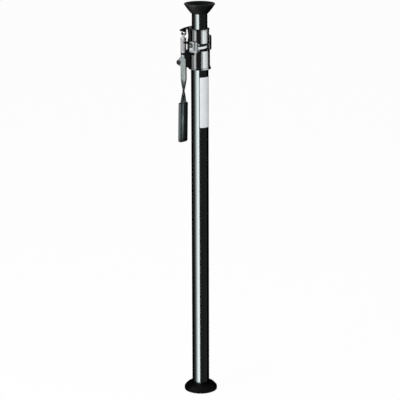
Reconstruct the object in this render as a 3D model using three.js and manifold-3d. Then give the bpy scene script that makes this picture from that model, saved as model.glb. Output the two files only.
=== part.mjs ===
import * as THREE from 'three';
import { mergeVertices } from 'three/addons/utils/BufferGeometryUtils.js';
import Module from 'manifold-3d';

// A floor to ceiling tension pole: two telescoping tubes, a floor foot, a ceiling cup, and a cam lever
// that lifts a carriage. A tilting plate in the carriage grips the inner tube and lets it go at the trigger.
// Millimetres, +Z up along the tubes, origin under the middle of the foot, lever on -X, trigger on -Y.

const wasm = await Module();
wasm.setup();

// Facets and fits
const TUBE_SIDES = 48;
const PIN_SIDES = 20;
const CORNER_STEPS = 4;
const WELD = 1e-4; // vertices closer than this are one
const FIT = 0.3; // gap between pieces that touch
const RUN = 0.35; // gap of a bush round the inner tube
const OVERRUN = 2; // how far a cutter passes the face that it cuts

// Tubes
const OUTER_TUBE_RADIUS = 22.5;
const OUTER_TUBE_WALL = 1.4;
const OUTER_TUBE_LENGTH = 891.8;
const TUBE_GAP = 1.1; // between the two tubes, all round
const INNER_TUBE_WALL = 1.5;
const INNER_TUBE_SHOWN = 38.3; // from the carriage to the cup
const INNER_TUBE_CLEARANCE = 130.6; // between the foot's plug and the inner tube's end

// Floor foot
const FOOT_RADIUS = 43.4;
const FOOT_SOLE = 6;
const FOOT_RIM = 7; // height of the rim's outer face
const FOOT_HEIGHT = 20;
const FOOT_EDGE = 1;
const FOOT_CUFF_WALL = 1.6;
const FOOT_DOME_SHARE = 0.42; // how far out the dome stays high
const FOOT_PLUG_HEIGHT = 18;
const PLUG_CHAMFER = 3;

// Label plate
const LABEL_THICKNESS = 0.4;
const LABEL_HEIGHT = 131;
const LABEL_BELOW_COLLAR = 19.3;
const LABEL_HALF_ANGLE = THREE.MathUtils.degToRad(49);

// Lower collar
const LOWER_COLLAR_WALL = 3.7;
const LOWER_COLLAR_HEIGHT = 49.2;
const COLLAR_GRIP = 26.4; // length of tube inside the collar
const BEAD_REACH = 2.8;
const BEAD_HEIGHT = 4;
const BEAD_FILLET = 5;
const COUNTERBORE_WALL = 1.8;
const BUSH_FLANGE = 1.5;
const COLLAR_LIP = 1; // rounding of the collars' top edges
const LUG_HALF_WIDTH = 6;
const LUG_TOP_DROP = 4.4;
const LUG_FOOT_DROP = 3.6;
const LUG_ROUND = 4;
const LUG_ARM_THICKNESS = 6.4;
const LUG_ARM_SPREAD = 12; // height of the arm's foot above the pivot
const LUG_ARM_DROP = 0.7; // its upper edge below the pivot
const COLLAR_SCREW_RADIUS = 2;
const COLLAR_SCREW_HEAD_RADIUS = 3.6;
const COLLAR_SCREW_HEAD = 2;
const COLLAR_SCREW_SPACING = 12;
const COLLAR_SCREW_RISE = 13.5; // the lower screw above the collar's foot

// Lever and its cam
const PIVOT_REACH = 44.8; // from the lower collar's side to the pivot
const PIVOT_RISE = 7.2;
const PIVOT_PIN_RADIUS = 3;
const PIVOT_HEAD_RADIUS = 6.5;
const PIVOT_HEAD = 3.2;
const PIVOT_TAIL = 3;
const CLIP_THICKNESS = 1.2;
const CLIP_RADIUS = 6;
const LEVER_BUSH_WALL = 0.9;
const LEVER_EYE_WALL = 2.5;
const LEVER_THICKNESS = 4.7;
const LEVER_WIDTH = 17.5;
const LEVER_SWING = THREE.MathUtils.degToRad(90);
const CAM_STEP = 1.6; // where the shoe touches, outside the lever's eye
const CAM_END_RISE = 1; // height of the cam's low end over the pivot
const CAM_CORNER = 7;
const CAM_STEPS = 14;
const BLADE_LENGTH = 40.3; // from the pivot down to the twist
const TWIST_LENGTH = 61.6;
const TWIST_STEPS = 14;
const BLADE_LEAN = THREE.MathUtils.degToRad(1.2); // of the twist and the tang, away from the tubes
const TANG_LENGTH = 86; // hidden in the grip
const LEVER_HEEL = 11; // where the eye runs into the blade, below the pivot

// Grip
const GRIP_THICKNESS = 13;
const GRIP_WIDTH = 27;
const GRIP_LENGTH = 104;
const GRIP_SQUARENESS = 4.5; // 2 would be an oval, more is nearer to a box
const GRIP_GROOVE = 0.9; // depth of the groove along each corner
const GROOVE_SHARE = 0.4; // of the turn from a corner to a flat that the groove takes
const GRIP_END_ROUND = 4;
const GRIP_MOUTH_ROUND = 1.5;
const GRIP_SIDES = 72;
const GRIP_END_STEPS = 4;
const GRIP_MOUTH_STEPS = 2;

// Push rod between the cam and the carriage's arm
const ROD_OFFSET = 15; // from the pivot in towards the tubes
const SHOE_LAP = 0.8; // how far the shoe reaches past the contact line
const SHOE_THICKNESS = 7.4;
const ROD_RADIUS = 3;
const ROD_INSET = 14; // how far the shoe's stem and the eye's shank enter the barrel
const NUT_HEIGHT = 4.6;
const NUT_RADIUS = 6.6;
const BARREL_RADIUS = 7.5;
const BARREL_CHAMFER = 0.8;
const ROD_EYE_RADIUS = 6;
const ROD_EYE_THICKNESS = 5.8;
const ROD_EYE_RISE = 16.1; // above the carriage's lower face
const SHANK_SHOWN = 4.5;
const LINK_PIN_RADIUS = 2.4;
const LINK_HEAD_RADIUS = 3.6;
const LINK_HEAD = 1.6;
const LINK_TAIL = 2.4;

// Carriage
const COLLAR_SPACE = 18.5; // between the two collars at rest
const UPPER_COLLAR_HEIGHT = 36.3;
const UPPER_COLLAR_WALL = 2.4;
const UPPER_LIP_REACH = 1.2;
const UPPER_LIP_HEIGHT = 2.4;
const BUSH_WALL = 1.15;
const CARRIAGE_BUSH_SHARE = 0.38; // of the collar's height, each
const WEB_HALF_THICKNESS = 4;
const WEB_REACH = 11.2; // from the collar's side to the web's waist
const WEB_FLARE = 3.6;
const ARM_HALF_WIDTH = 6.2;
const ARM_ROOT_RISE = 3.3;
const ARM_ROOT_REACH = 4; // from the collar's side
const ARM_ROOT_THICKNESS = 7.4;
const ARM_END_THICKNESS = 4;
const ARM_OVERHANG = 7;
const ARM_CREST_SHARE = 0.55; // where the arm's upper edge turns down, from root to end
const ARM_CREST_BEND = 1.4;
const CHEEK_THICKNESS = 3;
const CHEEK_MARGIN = 4.8; // of the cheek round the link pin
const TONGUE_THICKNESS = 3.4;
const TONGUE_DROP = 4.4; // its upper face under the collar
const TONGUE_HALF_WIDTH = 6;
const TONGUE_REACH_SHARE = 0.55; // of the barrel's radius that it wraps
const KEY_HALF_THICKNESS = 3;
const KEY_DEPTH = 8;
const KEY_REACH = 5.8; // from the lower collar's side
const KEY_LENGTH = 29.1;
const KEY_GAP = 0.45;
const END_GAP = 1; // left in front of a stop at the end of the travel
const ROD_WEB_GAP = 4.7; // between the barrel and the lug

// Lock plate, its hook and its trigger
const PLATE_THICKNESS = 6;
const PLATE_TILT = THREE.MathUtils.degToRad(8);
const PLATE_TOP_GAP = 1.3; // under the carriage when the plate is level
const PLATE_HOLE_GAP = 1;
const PLATE_SIDE_GAP = 0.8;
const PLATE_HEEL = 2.2; // past the line on which it tips
const PLATE_TONGUE_HALF = 6;
const PLATE_TAIL_HALF = 4.5;
const PLATE_TAIL_PROUD = 1.2;
const FULCRUM_REACH = 4.8; // outside the lower collar
const HOOK_HALF_WIDTH = 8;
const HOOK_WALL = 2.2;
const HOOK_JAW = 14; // height of the jaw under the plate
const HOOK_CROWN = 16; // height of the hook above the collar's foot
const HOOK_ROUND = 9;
const TRIGGER_THICKNESS = 3;
const TRIGGER_GAP = 1; // outside the lower collar
const TRIGGER_LEFT = 8.3;
const TRIGGER_RIGHT = 16.7;
const TRIGGER_ABOVE = 18;
const TRIGGER_BELOW = 9.4;
const TRIGGER_ROUND = 6;
const SLIT_WIDTH = 2.4;
const SLIT_FROM_RIGHT = 5.6;
const SLIT_SHARE = 0.78;
const FINGER_PAD_WIDTH = 12.9;
const FINGER_PAD_HEIGHT = 17.6;
const FINGER_PAD_OVERHANG = 2.2; // past the trigger's left edge
const FINGER_PAD_PROUD = 1.5;
const FINGER_HOLE_RADIUS = 2.7;
const SPRING_WIDTH = 1.9;
const SPRING_THICKNESS = 0.6;

// Ceiling cup
const CUP_RADIUS = 39.6;
const CUP_HEIGHT = 25.4;
const CUP_LIP = 3.2; // width of the flat rim
const CUP_EDGE = 1.1;
const CUP_NECK_WALL = 1.1;
const CUP_SOCKET = 8; // how deep the tube stands in the cup
const CUP_FLOOR = 3.2;
const CUP_FLOOR_RADIUS = 11;
const CUP_BULGE = 1.2; // how far the cone's side swells
const TOP_PLUG_HEIGHT = 20;
const CUP_SCREW_RADIUS = 2.4;
const CUP_SCREW_HEAD_RADIUS = 5;
const CUP_SCREW_HEAD = 2.6;
const CUP_SCREW_LENGTH = 14;
const WASHER_RADIUS = 8;
const WASHER_THICKNESS = 1.2;

// Slider sleeve on the inner tube's lower end
const SLEEVE_LENGTH = 80;
const SLEEVE_FIT = 0.25;
const SLEEVE_FLOOR = 2;

// Places that follow from the sizes
const outerTubeBore = OUTER_TUBE_RADIUS - OUTER_TUBE_WALL;
const innerTubeRadius = outerTubeBore - TUBE_GAP;
const innerTubeBore = innerTubeRadius - INNER_TUBE_WALL;
const outerTubeBottom = FOOT_SOLE + FIT;
const outerTubeTop = outerTubeBottom + OUTER_TUBE_LENGTH;
const lowerCollarRadius = OUTER_TUBE_RADIUS + LOWER_COLLAR_WALL;
const lowerCollarBottom = outerTubeTop - COLLAR_GRIP;
const lowerCollarTop = lowerCollarBottom + LOWER_COLLAR_HEIGHT;
const carriageBottom = lowerCollarTop + COLLAR_SPACE;
const carriageTop = carriageBottom + UPPER_COLLAR_HEIGHT;
const bushBore = innerTubeRadius + RUN;
const bushRadius = bushBore + BUSH_WALL;
const carriageBore = bushRadius + FIT;
const upperCollarRadius = carriageBore + UPPER_COLLAR_WALL;

const pivotX = -(lowerCollarRadius + PIVOT_REACH);
const pivotZ = lowerCollarBottom + PIVOT_RISE;
const leverBushBore = PIVOT_PIN_RADIUS + FIT;
const leverEyeBore = leverBushBore + LEVER_BUSH_WALL + FIT;
const leverEyeRadius = leverEyeBore + LEVER_EYE_WALL;
const leverHalf = LEVER_THICKNESS / 2;
const camContact = leverEyeRadius + CAM_STEP; // drop of the shoe for each radian of swing
const carriageTravel = camContact * LEVER_SWING;
const camTop = carriageTravel + CAM_END_RISE;
const rodX = pivotX + ROD_OFFSET;
const shoeRadius = ROD_OFFSET - camContact + SHOE_LAP;
const shoeBottom = pivotZ + camTop;
const nutBottom = shoeBottom + SHOE_THICKNESS + FIT;
const barrelBottom = nutBottom + NUT_HEIGHT + FIT;
const rodEyeZ = carriageBottom + ROD_EYE_RISE;
const barrelTop = rodEyeZ - ROD_EYE_RADIUS - SHANK_SHOWN;
const lugFace = rodX + BARREL_RADIUS + ROD_WEB_GAP;

const plateHoleRadius = innerTubeRadius + PLATE_HOLE_GAP;
const counterboreRadius = lowerCollarRadius - COUNTERBORE_WALL;
const plateRadius = counterboreRadius - PLATE_SIDE_GAP;
const fulcrumY = lowerCollarRadius + FULCRUM_REACH;
const fulcrumZ = carriageBottom - PLATE_TOP_GAP - PLATE_THICKNESS / 2;
const plateArm = 2 * fulcrumY / (1 + Math.cos(PLATE_TILT)); // keeps the hole centred through its tilt
const plateDrop = (plateArm + plateRadius) * Math.sin(PLATE_TILT);
const plateHalf = PLATE_THICKNESS / 2;
const plateLowest = fulcrumZ - plateDrop - plateHalf - carriageTravel;
const counterboreFloor = plateLowest - END_GAP - BUSH_FLANGE - FIT;
const triggerInner = -(lowerCollarRadius + TRIGGER_GAP);
const triggerOuter = triggerInner - TRIGGER_THICKNESS;
const tailZ = fulcrumZ - (fulcrumY - (triggerInner + triggerOuter) / 2) * Math.tan(PLATE_TILT);

const cupBottom = carriageTop + INNER_TUBE_SHOWN;
const innerTubeTop = cupBottom + CUP_SOCKET;
const innerTubeBottom = outerTubeBottom + FOOT_PLUG_HEIGHT + INNER_TUBE_CLEARANCE;
const cupFloor = innerTubeTop + FIT;
const cupTop = cupBottom + CUP_HEIGHT;

// Finishes
const finishes = {
  anodised: [0x0b0b0d, 0.25, 0.7],
  casting: [0x101012, 0.35, 0.2],
  rubber: [0x1a1a1b, 0.8, 0],
  grip: [0x2b2d2e, 0.7, 0],
  steel: [0xb9bdc0, 0.3, 1],
  plated: [0xd8dadd, 0.18, 1],
  dark: [0x161617, 0.45, 0.6],
  nylon: [0x2a2a2c, 0.6, 0],
  label: [0xe6e9ec, 0.4, 0.1],
};

function material(finish) {
  const [color, roughness, metalness] = finishes[finish];
  return new THREE.MeshStandardMaterial({ color, roughness, metalness });
}

function piece(name, geometry, finish) {
  const mesh = new THREE.Mesh(geometry, material(finish));
  mesh.name = name;
  return mesh;
}

function group(children, x = 0, y = 0, z = 0) {
  const held = new THREE.Group();
  held.position.set(x, y, z);
  held.add(...children);
  return held;
}

// Closes a geometry: one vertex a corner, no empty triangles, faces outwards.
function closed(geometry) {
  const bare = geometry.clone();
  bare.deleteAttribute('normal');
  bare.deleteAttribute('uv');
  const merged = mergeVertices(bare, WELD);
  const at = merged.attributes.position;
  const corners = [];
  const [a, b, c] = [new THREE.Vector3(), new THREE.Vector3(), new THREE.Vector3()];
  let volume = 0;
  for (let i = 0; i < merged.index.count; i += 3) {
    const [p, q, r] = [0, 1, 2].map((k) => merged.index.getX(i + k));
    if (p === q || q === r || r === p) continue;
    corners.push(p, q, r);
    a.fromBufferAttribute(at, p);
    b.fromBufferAttribute(at, q);
    c.fromBufferAttribute(at, r);
    volume += a.dot(b.cross(c));
  }
  if (volume < 0) corners.reverse();
  merged.setIndex(corners);
  return merged;
}

function toManifold(geometry) {
  const shut = closed(geometry);
  return new wasm.Manifold(new wasm.Mesh({
    numProp: 3,
    vertProperties: new Float32Array(shut.attributes.position.array),
    triVerts: new Uint32Array(shut.index.array),
  }));
}

function fromManifold(solid) {
  const mesh = solid.getMesh();
  const geometry = new THREE.BufferGeometry();
  geometry.setAttribute('position', new THREE.BufferAttribute(new Float32Array(mesh.vertProperties), 3));
  geometry.setIndex(new THREE.BufferAttribute(new Uint32Array(mesh.triVerts), 1));
  return geometry;
}

const joined = (...parts) => fromManifold(parts.map(toManifold).reduce((sum, part) => sum.add(part)));
const cut = (body, ...tools) => fromManifold(tools.map(toManifold).reduce((left, tool) => left.subtract(tool),
  toManifold(body)));

// Revolves closed [radius, height] outlines, about Z or about a line along Y.
function latheY(points, sides) {
  const loop = [...points, points[0]].map(([radius, along]) => new THREE.Vector2(radius, along));
  return closed(new THREE.LatheGeometry(loop, sides));
}
const latheZ = (points, sides = TUBE_SIDES) => latheY(points, sides).rotateX(Math.PI / 2);
const tube = (bore, radius, from, to, sides) =>
  latheZ([[bore, from], [radius, from], [radius, to], [bore, to]], sides);
const rod = (radius, from, to, sides = PIN_SIDES) => tube(0, radius, from, to, sides);
const tubeY = (bore, radius, from, to, sides = PIN_SIDES) =>
  latheY([[bore, from], [radius, from], [radius, to], [bore, to]], sides);
const rodY = (radius, from, to, sides = PIN_SIDES) => tubeY(0, radius, from, to, sides);

// A closed outline through corners [x, y, round], each rounded over the length round, or over half of its
// edge where that is shorter.
function outline(corners) {
  const shape = new THREE.Shape();
  const spots = corners.map(([x, y]) => new THREE.Vector2(x, y));
  corners.forEach(([, , wanted = 0], i) => {
    const here = spots[i];
    const before = spots[(i + corners.length - 1) % corners.length];
    const after = spots[(i + 1) % corners.length];
    const round = Math.min(wanted, here.distanceTo(before) / 2, here.distanceTo(after) / 2);
    const start = here.clone().add(before.clone().sub(here).setLength(round));
    const end = here.clone().add(after.clone().sub(here).setLength(round));
    if (i === 0) shape.moveTo(start.x, start.y);
    else shape.lineTo(start.x, start.y);
    if (round > 0) shape.quadraticCurveTo(here.x, here.y, end.x, end.y);
  });
  shape.closePath();
  return shape;
}

function arc(centreX, centreY, radius, from, to, steps) {
  return Array.from({ length: steps + 1 }, (_, i) => {
    const angle = from + (to - from) * i / steps;
    return [centreX + radius * Math.cos(angle), centreY + radius * Math.sin(angle)];
  });
}

function extrude(shape, depth) {
  return new THREE.ExtrudeGeometry(shape, { depth, bevelEnabled: false, curveSegments: CORNER_STEPS });
}
// Outlines drawn in X and Z, Y and Z, or X and Y, and the range that they fill along the third axis.
const alongY = (shape, from, to) => extrude(shape, to - from).rotateX(Math.PI / 2).translate(0, to, 0);
const alongX = (shape, from, to) => extrude(shape, to - from).rotateX(Math.PI / 2).rotateZ(Math.PI / 2)
  .translate(from, 0, 0);
const alongZ = (shape, from, to) => extrude(shape, to - from).translate(0, 0, from);

function block(x0, x1, y0, y1, z0, z1) {
  return new THREE.BoxGeometry(x1 - x0, y1 - y0, z1 - z0)
    .translate((x0 + x1) / 2, (y0 + y1) / 2, (z0 + z1) / 2);
}

// Skins rings of points: capped at both ends, or with the last ring joined to the first.
function skin(rings, endless = false) {
  const count = rings[0].length;
  const positions = rings.flat(2);
  const corners = [];
  const last = endless ? rings.length : rings.length - 1;
  for (let i = 0; i < last; i += 1) {
    for (let j = 0; j < count; j += 1) {
      const [here, next] = [i * count, ((i + 1) % rings.length) * count];
      const k = (j + 1) % count;
      corners.push(here + j, here + k, next + k, here + j, next + k, next + j);
    }
  }
  for (let j = 1; !endless && j < count - 1; j += 1) {
    const end = (rings.length - 1) * count;
    corners.push(0, j + 1, j, end, end + j, end + j + 1);
  }
  const geometry = new THREE.BufferGeometry();
  geometry.setAttribute('position', new THREE.Float32BufferAttribute(positions, 3));
  geometry.setIndex(corners);
  return closed(geometry);
}

// Floor foot: a domed rubber boot with a flat sole and a cuff round the tube.
function floorFoot() {
  const socket = OUTER_TUBE_RADIUS + FIT;
  const cuff = socket + FOOT_CUFF_WALL;
  const dome = new THREE.QuadraticBezierCurve(
    new THREE.Vector2(FOOT_RADIUS - FOOT_EDGE, FOOT_RIM + FOOT_EDGE),
    new THREE.Vector2(cuff + (FOOT_RADIUS - cuff) * FOOT_DOME_SHARE, FOOT_HEIGHT - FOOT_EDGE),
    new THREE.Vector2(cuff, FOOT_HEIGHT),
  ).getPoints(2 * CORNER_STEPS).map(({ x, y }) => [x, y]);
  return latheZ([
    [0, 0], [FOOT_RADIUS - FOOT_EDGE, 0], [FOOT_RADIUS, FOOT_EDGE], [FOOT_RADIUS, FOOT_RIM], ...dome,
    [socket, FOOT_HEIGHT], [socket, FOOT_SOLE], [0, FOOT_SOLE],
  ]);
}

function plug(radius, bottom, top, bore = 0, chamfer = PLUG_CHAMFER) {
  return latheZ([
    [bore, bottom], [radius, bottom], [radius, top - chamfer], [radius - chamfer, top], [bore, top],
  ]);
}

function labelPlate() {
  const inner = OUTER_TUBE_RADIUS + FIT;
  const steps = Math.ceil(LABEL_HALF_ANGLE / Math.PI * TUBE_SIDES);
  const top = lowerCollarBottom - LABEL_BELOW_COLLAR;
  const sheet = outline([
    ...arc(0, 0, inner + LABEL_THICKNESS, -LABEL_HALF_ANGLE, LABEL_HALF_ANGLE, steps),
    ...arc(0, 0, inner, LABEL_HALF_ANGLE, -LABEL_HALF_ANGLE, steps),
  ]);
  return alongZ(sheet, top - LABEL_HEIGHT, top);
}

// Lower collar: a sleeve on the tube's mouth, a counterbore that the lock plate sinks into, a lug with a slot
// for the carriage's key, and an arm that carries the pivot behind the lever.
function lowerCollar() {
  const bead = lowerCollarRadius + BEAD_REACH;
  const seat = OUTER_TUBE_RADIUS + FIT;
  const body = latheZ([
    [seat, lowerCollarBottom], [bead - COLLAR_LIP, lowerCollarBottom],
    [bead, lowerCollarBottom + COLLAR_LIP], [bead, lowerCollarBottom + BEAD_HEIGHT - COLLAR_LIP],
    [bead - COLLAR_LIP, lowerCollarBottom + BEAD_HEIGHT],
    [lowerCollarRadius, lowerCollarBottom + BEAD_HEIGHT + BEAD_FILLET],
    [lowerCollarRadius, lowerCollarTop - COLLAR_LIP], [lowerCollarRadius - COLLAR_LIP, lowerCollarTop],
    [counterboreRadius, lowerCollarTop], [counterboreRadius, counterboreFloor], [seat, counterboreFloor],
  ]);
  const wall = (seat + lowerCollarRadius) / 2;
  const lugTop = lowerCollarTop - LUG_TOP_DROP;
  const lugBottom = lowerCollarBottom - LUG_FOOT_DROP;
  const lug = alongY(outline([
    [-seat - OVERRUN, lugTop], [lugFace, lugTop, LUG_ROUND], [lugFace, lugBottom + LUG_ROUND, LUG_ROUND],
    [-lowerCollarRadius - BEAD_REACH, lugBottom, LUG_ROUND], [-lowerCollarRadius, lugBottom],
    [-lowerCollarRadius, lowerCollarBottom], [-seat - OVERRUN, lowerCollarBottom],
  ]), -LUG_HALF_WIDTH, LUG_HALF_WIDTH);
  const boss = leverEyeRadius + FIT;
  const armFrom = leverHalf + FIT;
  const armTo = armFrom + LUG_ARM_THICKNESS;
  const arm = alongY(outline([
    [-wall, pivotZ + LUG_ARM_SPREAD], [lugFace, pivotZ + LUG_ARM_SPREAD, LUG_ROUND],
    [lugFace - LUG_ROUND, pivotZ - LUG_ARM_DROP, LUG_ROUND / 2], [pivotX, pivotZ - LUG_ARM_DROP],
    [pivotX, pivotZ - boss], [lugFace, lugBottom, LUG_ROUND], [-wall, lowerCollarBottom],
  ]), armFrom, armTo);
  const eye = rodY(boss, armFrom, armTo, TUBE_SIDES / 2).translate(pivotX, 0, pivotZ);
  const pinHole = rodY(PIVOT_PIN_RADIUS + FIT, armFrom - OVERRUN, armTo + OVERRUN)
    .translate(pivotX, 0, pivotZ);
  const keyInner = -(lowerCollarRadius + KEY_REACH);
  const slotBottom = lowerCollarTop - KEY_LENGTH + COLLAR_SPACE - carriageTravel - END_GAP;
  const slot = block(keyInner - KEY_DEPTH - KEY_GAP, keyInner + KEY_GAP, -KEY_HALF_THICKNESS - KEY_GAP,
    KEY_HALF_THICKNESS + KEY_GAP, slotBottom, lugTop + OVERRUN);
  const tongueNotchZ = fulcrumZ - (fulcrumY - counterboreRadius) * Math.tan(PLATE_TILT) - plateHalf
    - carriageTravel - END_GAP;
  const tongueNotch = block(-PLATE_TONGUE_HALF - END_GAP, PLATE_TONGUE_HALF + END_GAP,
    counterboreRadius - OVERRUN, lowerCollarRadius + OVERRUN, tongueNotchZ, lowerCollarTop + OVERRUN);
  const tailNotch = block(-PLATE_TAIL_HALF - END_GAP, PLATE_TAIL_HALF + END_GAP,
    -lowerCollarRadius - OVERRUN, -counterboreRadius + OVERRUN, plateLowest - END_GAP,
      lowerCollarTop + OVERRUN);
  const screwHoles = screwHeights.map((z) => rodY(COLLAR_SCREW_RADIUS + FIT, OUTER_TUBE_RADIUS - OVERRUN,
    lowerCollarRadius + OVERRUN).translate(0, 0, z));
  const tubeRoom = rod(seat, lowerCollarBottom - LUG_FOOT_DROP - OVERRUN, counterboreFloor, TUBE_SIDES);
  return cut(joined(body, lug, arm, eye), tubeRoom, pinHole, slot, tongueNotch, tailNotch, ...screwHoles);
}

const screwHeights = [0, 1].map((i) => lowerCollarBottom + COLLAR_SCREW_RISE + i * COLLAR_SCREW_SPACING);

function collarScrew(z) {
  const underHead = lowerCollarRadius + FIT;
  const edge = COLLAR_SCREW_HEAD / 2;
  const top = underHead + COLLAR_SCREW_HEAD;
  const shank = rodY(COLLAR_SCREW_RADIUS, OUTER_TUBE_RADIUS + FIT, underHead + edge);
  const head = latheY([[0, underHead], [COLLAR_SCREW_HEAD_RADIUS, underHead],
    [COLLAR_SCREW_HEAD_RADIUS, underHead + edge], [COLLAR_SCREW_HEAD_RADIUS - edge, top], [0, top]],
      PIN_SIDES);
  return joined(shank, head).translate(0, 0, z);
}

function mouthBush() {
  const flange = counterboreRadius - FIT;
  const shelf = counterboreFloor + FIT;
  return latheZ([[bushBore, outerTubeTop + FIT], [OUTER_TUBE_RADIUS, outerTubeTop + FIT],
    [OUTER_TUBE_RADIUS, shelf], [flange, shelf], [flange, shelf + BUSH_FLANGE], [bushBore,
      shelf + BUSH_FLANGE]]);
}

// Pins are modelled about their own axis: the head stands on the -Y side.
function headedPin(radius, headRadius, head, from, to) {
  const edge = head / 3;
  return latheY([[0, from - head], [headRadius - 2 * edge, from - head],
    [headRadius - edge, from - head + edge / 2], [headRadius, from - edge], [headRadius, from], [radius,
      from],
    [radius, to - edge], [radius - edge, to], [0, to]], PIN_SIDES);
}

function pivotPin() {
  const armOuter = leverHalf + FIT + LUG_ARM_THICKNESS;
  return headedPin(PIVOT_PIN_RADIUS, PIVOT_HEAD_RADIUS, PIVOT_HEAD, -leverHalf - FIT, armOuter + PIVOT_TAIL);
}

function pivotClip() {
  const inner = leverHalf + LUG_ARM_THICKNESS + 2 * FIT;
  return tubeY(PIVOT_PIN_RADIUS + FIT, CLIP_RADIUS, inner, inner + CLIP_THICKNESS);
}

// The cam face is the involute of a circle whose radius is the contact offset, so a flat shoe drops by the
// same amount for each degree of swing. Its first point is the inner end of the flat land on top.
function camFace() {
  const start = camTop - FIT;
  return Array.from({ length: CAM_STEPS + 1 }, (_, i) => {
    const swing = LEVER_SWING * i / CAM_STEPS;
    const height = start - camContact * swing;
    return [camContact * Math.cos(swing) - height * Math.sin(swing),
      camContact * Math.sin(swing) + height * Math.cos(swing)];
  });
}

// Middle of the lever's bar at a height: below the straight blade it leans away from the tubes.
const leverMiddle = (z) => ROD_OFFSET - Math.max(0, -BLADE_LENGTH - z) * Math.tan(BLADE_LEAN);

// Lever: head, eye and blade cut from flat steel, then a quarter twist and a straight tang for the grip.
function leverBar() {
  const [left, right] = [ROD_OFFSET - LEVER_WIDTH / 2, ROD_OFFSET + LEVER_WIDTH / 2];
  const bladeEnd = -BLADE_LENGTH;
  const back = arc(0, 0, leverEyeRadius, Math.PI / 2, Math.PI * 1.42, CAM_STEPS);
  const head = alongY(outline([
    [right, camTop - FIT, CAM_CORNER], ...camFace(), ...back,
    [left, -LEVER_HEEL], [left, bladeEnd], [right, bladeEnd],
  ]), -leverHalf, leverHalf);
  const rings = [];
  const section = [[-LEVER_WIDTH / 2, -leverHalf], [LEVER_WIDTH / 2, -leverHalf],
    [LEVER_WIDTH / 2, leverHalf], [-LEVER_WIDTH / 2, leverHalf]];
  const twist = Array.from({ length: TWIST_STEPS + 1 }, (_, i) => OVERRUN + TWIST_LENGTH * i / TWIST_STEPS);
  const lengths = [0, ...twist, OVERRUN + TWIST_LENGTH + TANG_LENGTH];
  lengths.forEach((length) => {
    const share = THREE.MathUtils.clamp((length - OVERRUN) / TWIST_LENGTH, 0, 1);
    const turn = -share * Math.PI / 2;
    const middle = leverMiddle(bladeEnd + OVERRUN - length);
    rings.push(section.map(([x, y]) => [middle + x * Math.cos(turn) - y * Math.sin(turn),
      x * Math.sin(turn) + y * Math.cos(turn), bladeEnd + OVERRUN - length]));
  });
  return cut(joined(head, skin(rings)), rodY(leverEyeBore, -leverHalf - OVERRUN, leverHalf + OVERRUN));
}

const leverBush = () => tubeY(leverBushBore, leverEyeBore - FIT, -leverHalf, leverHalf);

// Grip: a flat rubber sleeve of squared oval section, with a groove along each corner and a slot for the
// tang.
function leverGrip() {
  const top = -BLADE_LENGTH - TWIST_LENGTH - OVERRUN - FIT;
  const levels = [
    ...arc(GRIP_MOUTH_ROUND, GRIP_MOUTH_ROUND, GRIP_MOUTH_ROUND, Math.PI * 3 / 2, Math.PI,
      GRIP_MOUTH_STEPS),
    ...arc(GRIP_END_ROUND, GRIP_LENGTH - GRIP_END_ROUND, GRIP_END_ROUND, Math.PI, Math.PI / 2,
      GRIP_END_STEPS),
  ];
  const squared = (value) => Math.sign(value) * Math.abs(value) ** (2 / GRIP_SQUARENESS);
  const rings = levels.map(([inset, depth]) => Array.from({ length: GRIP_SIDES }, (_, j) => {
    const angle = 2 * Math.PI * j / GRIP_SIDES;
    const groove = GRIP_GROOVE * Math.max(0, 1 - Math.abs(Math.cos(2 * angle)) / GROOVE_SHARE)
      * (1 - inset / GRIP_END_ROUND);
    return [leverMiddle(top - depth) + (GRIP_THICKNESS / 2 - inset - groove) * squared(Math.cos(angle)),
      (GRIP_WIDTH / 2 - inset - groove) * squared(Math.sin(angle)), top - depth];
  }));
  const slotRing = (z) => {
    const [x, y] = [leverHalf + FIT, LEVER_WIDTH / 2 + FIT];
    return [[-x, -y], [x, -y], [x, y], [-x, y]].map(([dx, dy]) => [leverMiddle(z) + dx, dy, z]);
  };
  const slotEnd = -BLADE_LENGTH - TWIST_LENGTH - TANG_LENGTH - FIT;
  return cut(skin(rings), skin([slotRing(top + OVERRUN), slotRing(slotEnd)]));
}

// Push rod, modelled about its own vertical axis in the carriage's heights.
function linkEye() {
  const half = ROD_EYE_THICKNESS / 2;
  const ring = rodY(ROD_EYE_RADIUS, -half, half, TUBE_SIDES / 2).translate(0, 0, rodEyeZ);
  const shank = rod(ROD_RADIUS, barrelTop - ROD_INSET, rodEyeZ - ROD_EYE_RADIUS / 2);
  const hole = rodY(LINK_PIN_RADIUS + FIT, -half - OVERRUN, half + OVERRUN).translate(0, 0, rodEyeZ);
  return cut(joined(ring, shank), hole);
}

function linkBarrel() {
  const bore = ROD_RADIUS + FIT;
  const edge = BARREL_RADIUS - BARREL_CHAMFER;
  return latheZ([[bore, barrelBottom], [edge, barrelBottom], [BARREL_RADIUS, barrelBottom + BARREL_CHAMFER],
    [BARREL_RADIUS, barrelTop - BARREL_CHAMFER], [edge, barrelTop], [bore, barrelTop]], TUBE_SIDES / 2);
}

const lockNut = () => cut(rod(NUT_RADIUS, nutBottom, nutBottom + NUT_HEIGHT, 6),
  rod(ROD_RADIUS + FIT, nutBottom - OVERRUN, nutBottom + NUT_HEIGHT + OVERRUN));

function camShoe() {
  const edge = BARREL_CHAMFER;
  const top = shoeBottom + SHOE_THICKNESS;
  const stemTop = barrelBottom + ROD_INSET;
  return latheZ([[0, shoeBottom], [shoeRadius, shoeBottom], [shoeRadius, top - edge], [shoeRadius - edge,
    top],
    [ROD_RADIUS, top], [ROD_RADIUS, stemTop], [0, stemTop]], TUBE_SIDES / 2);
}

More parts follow.
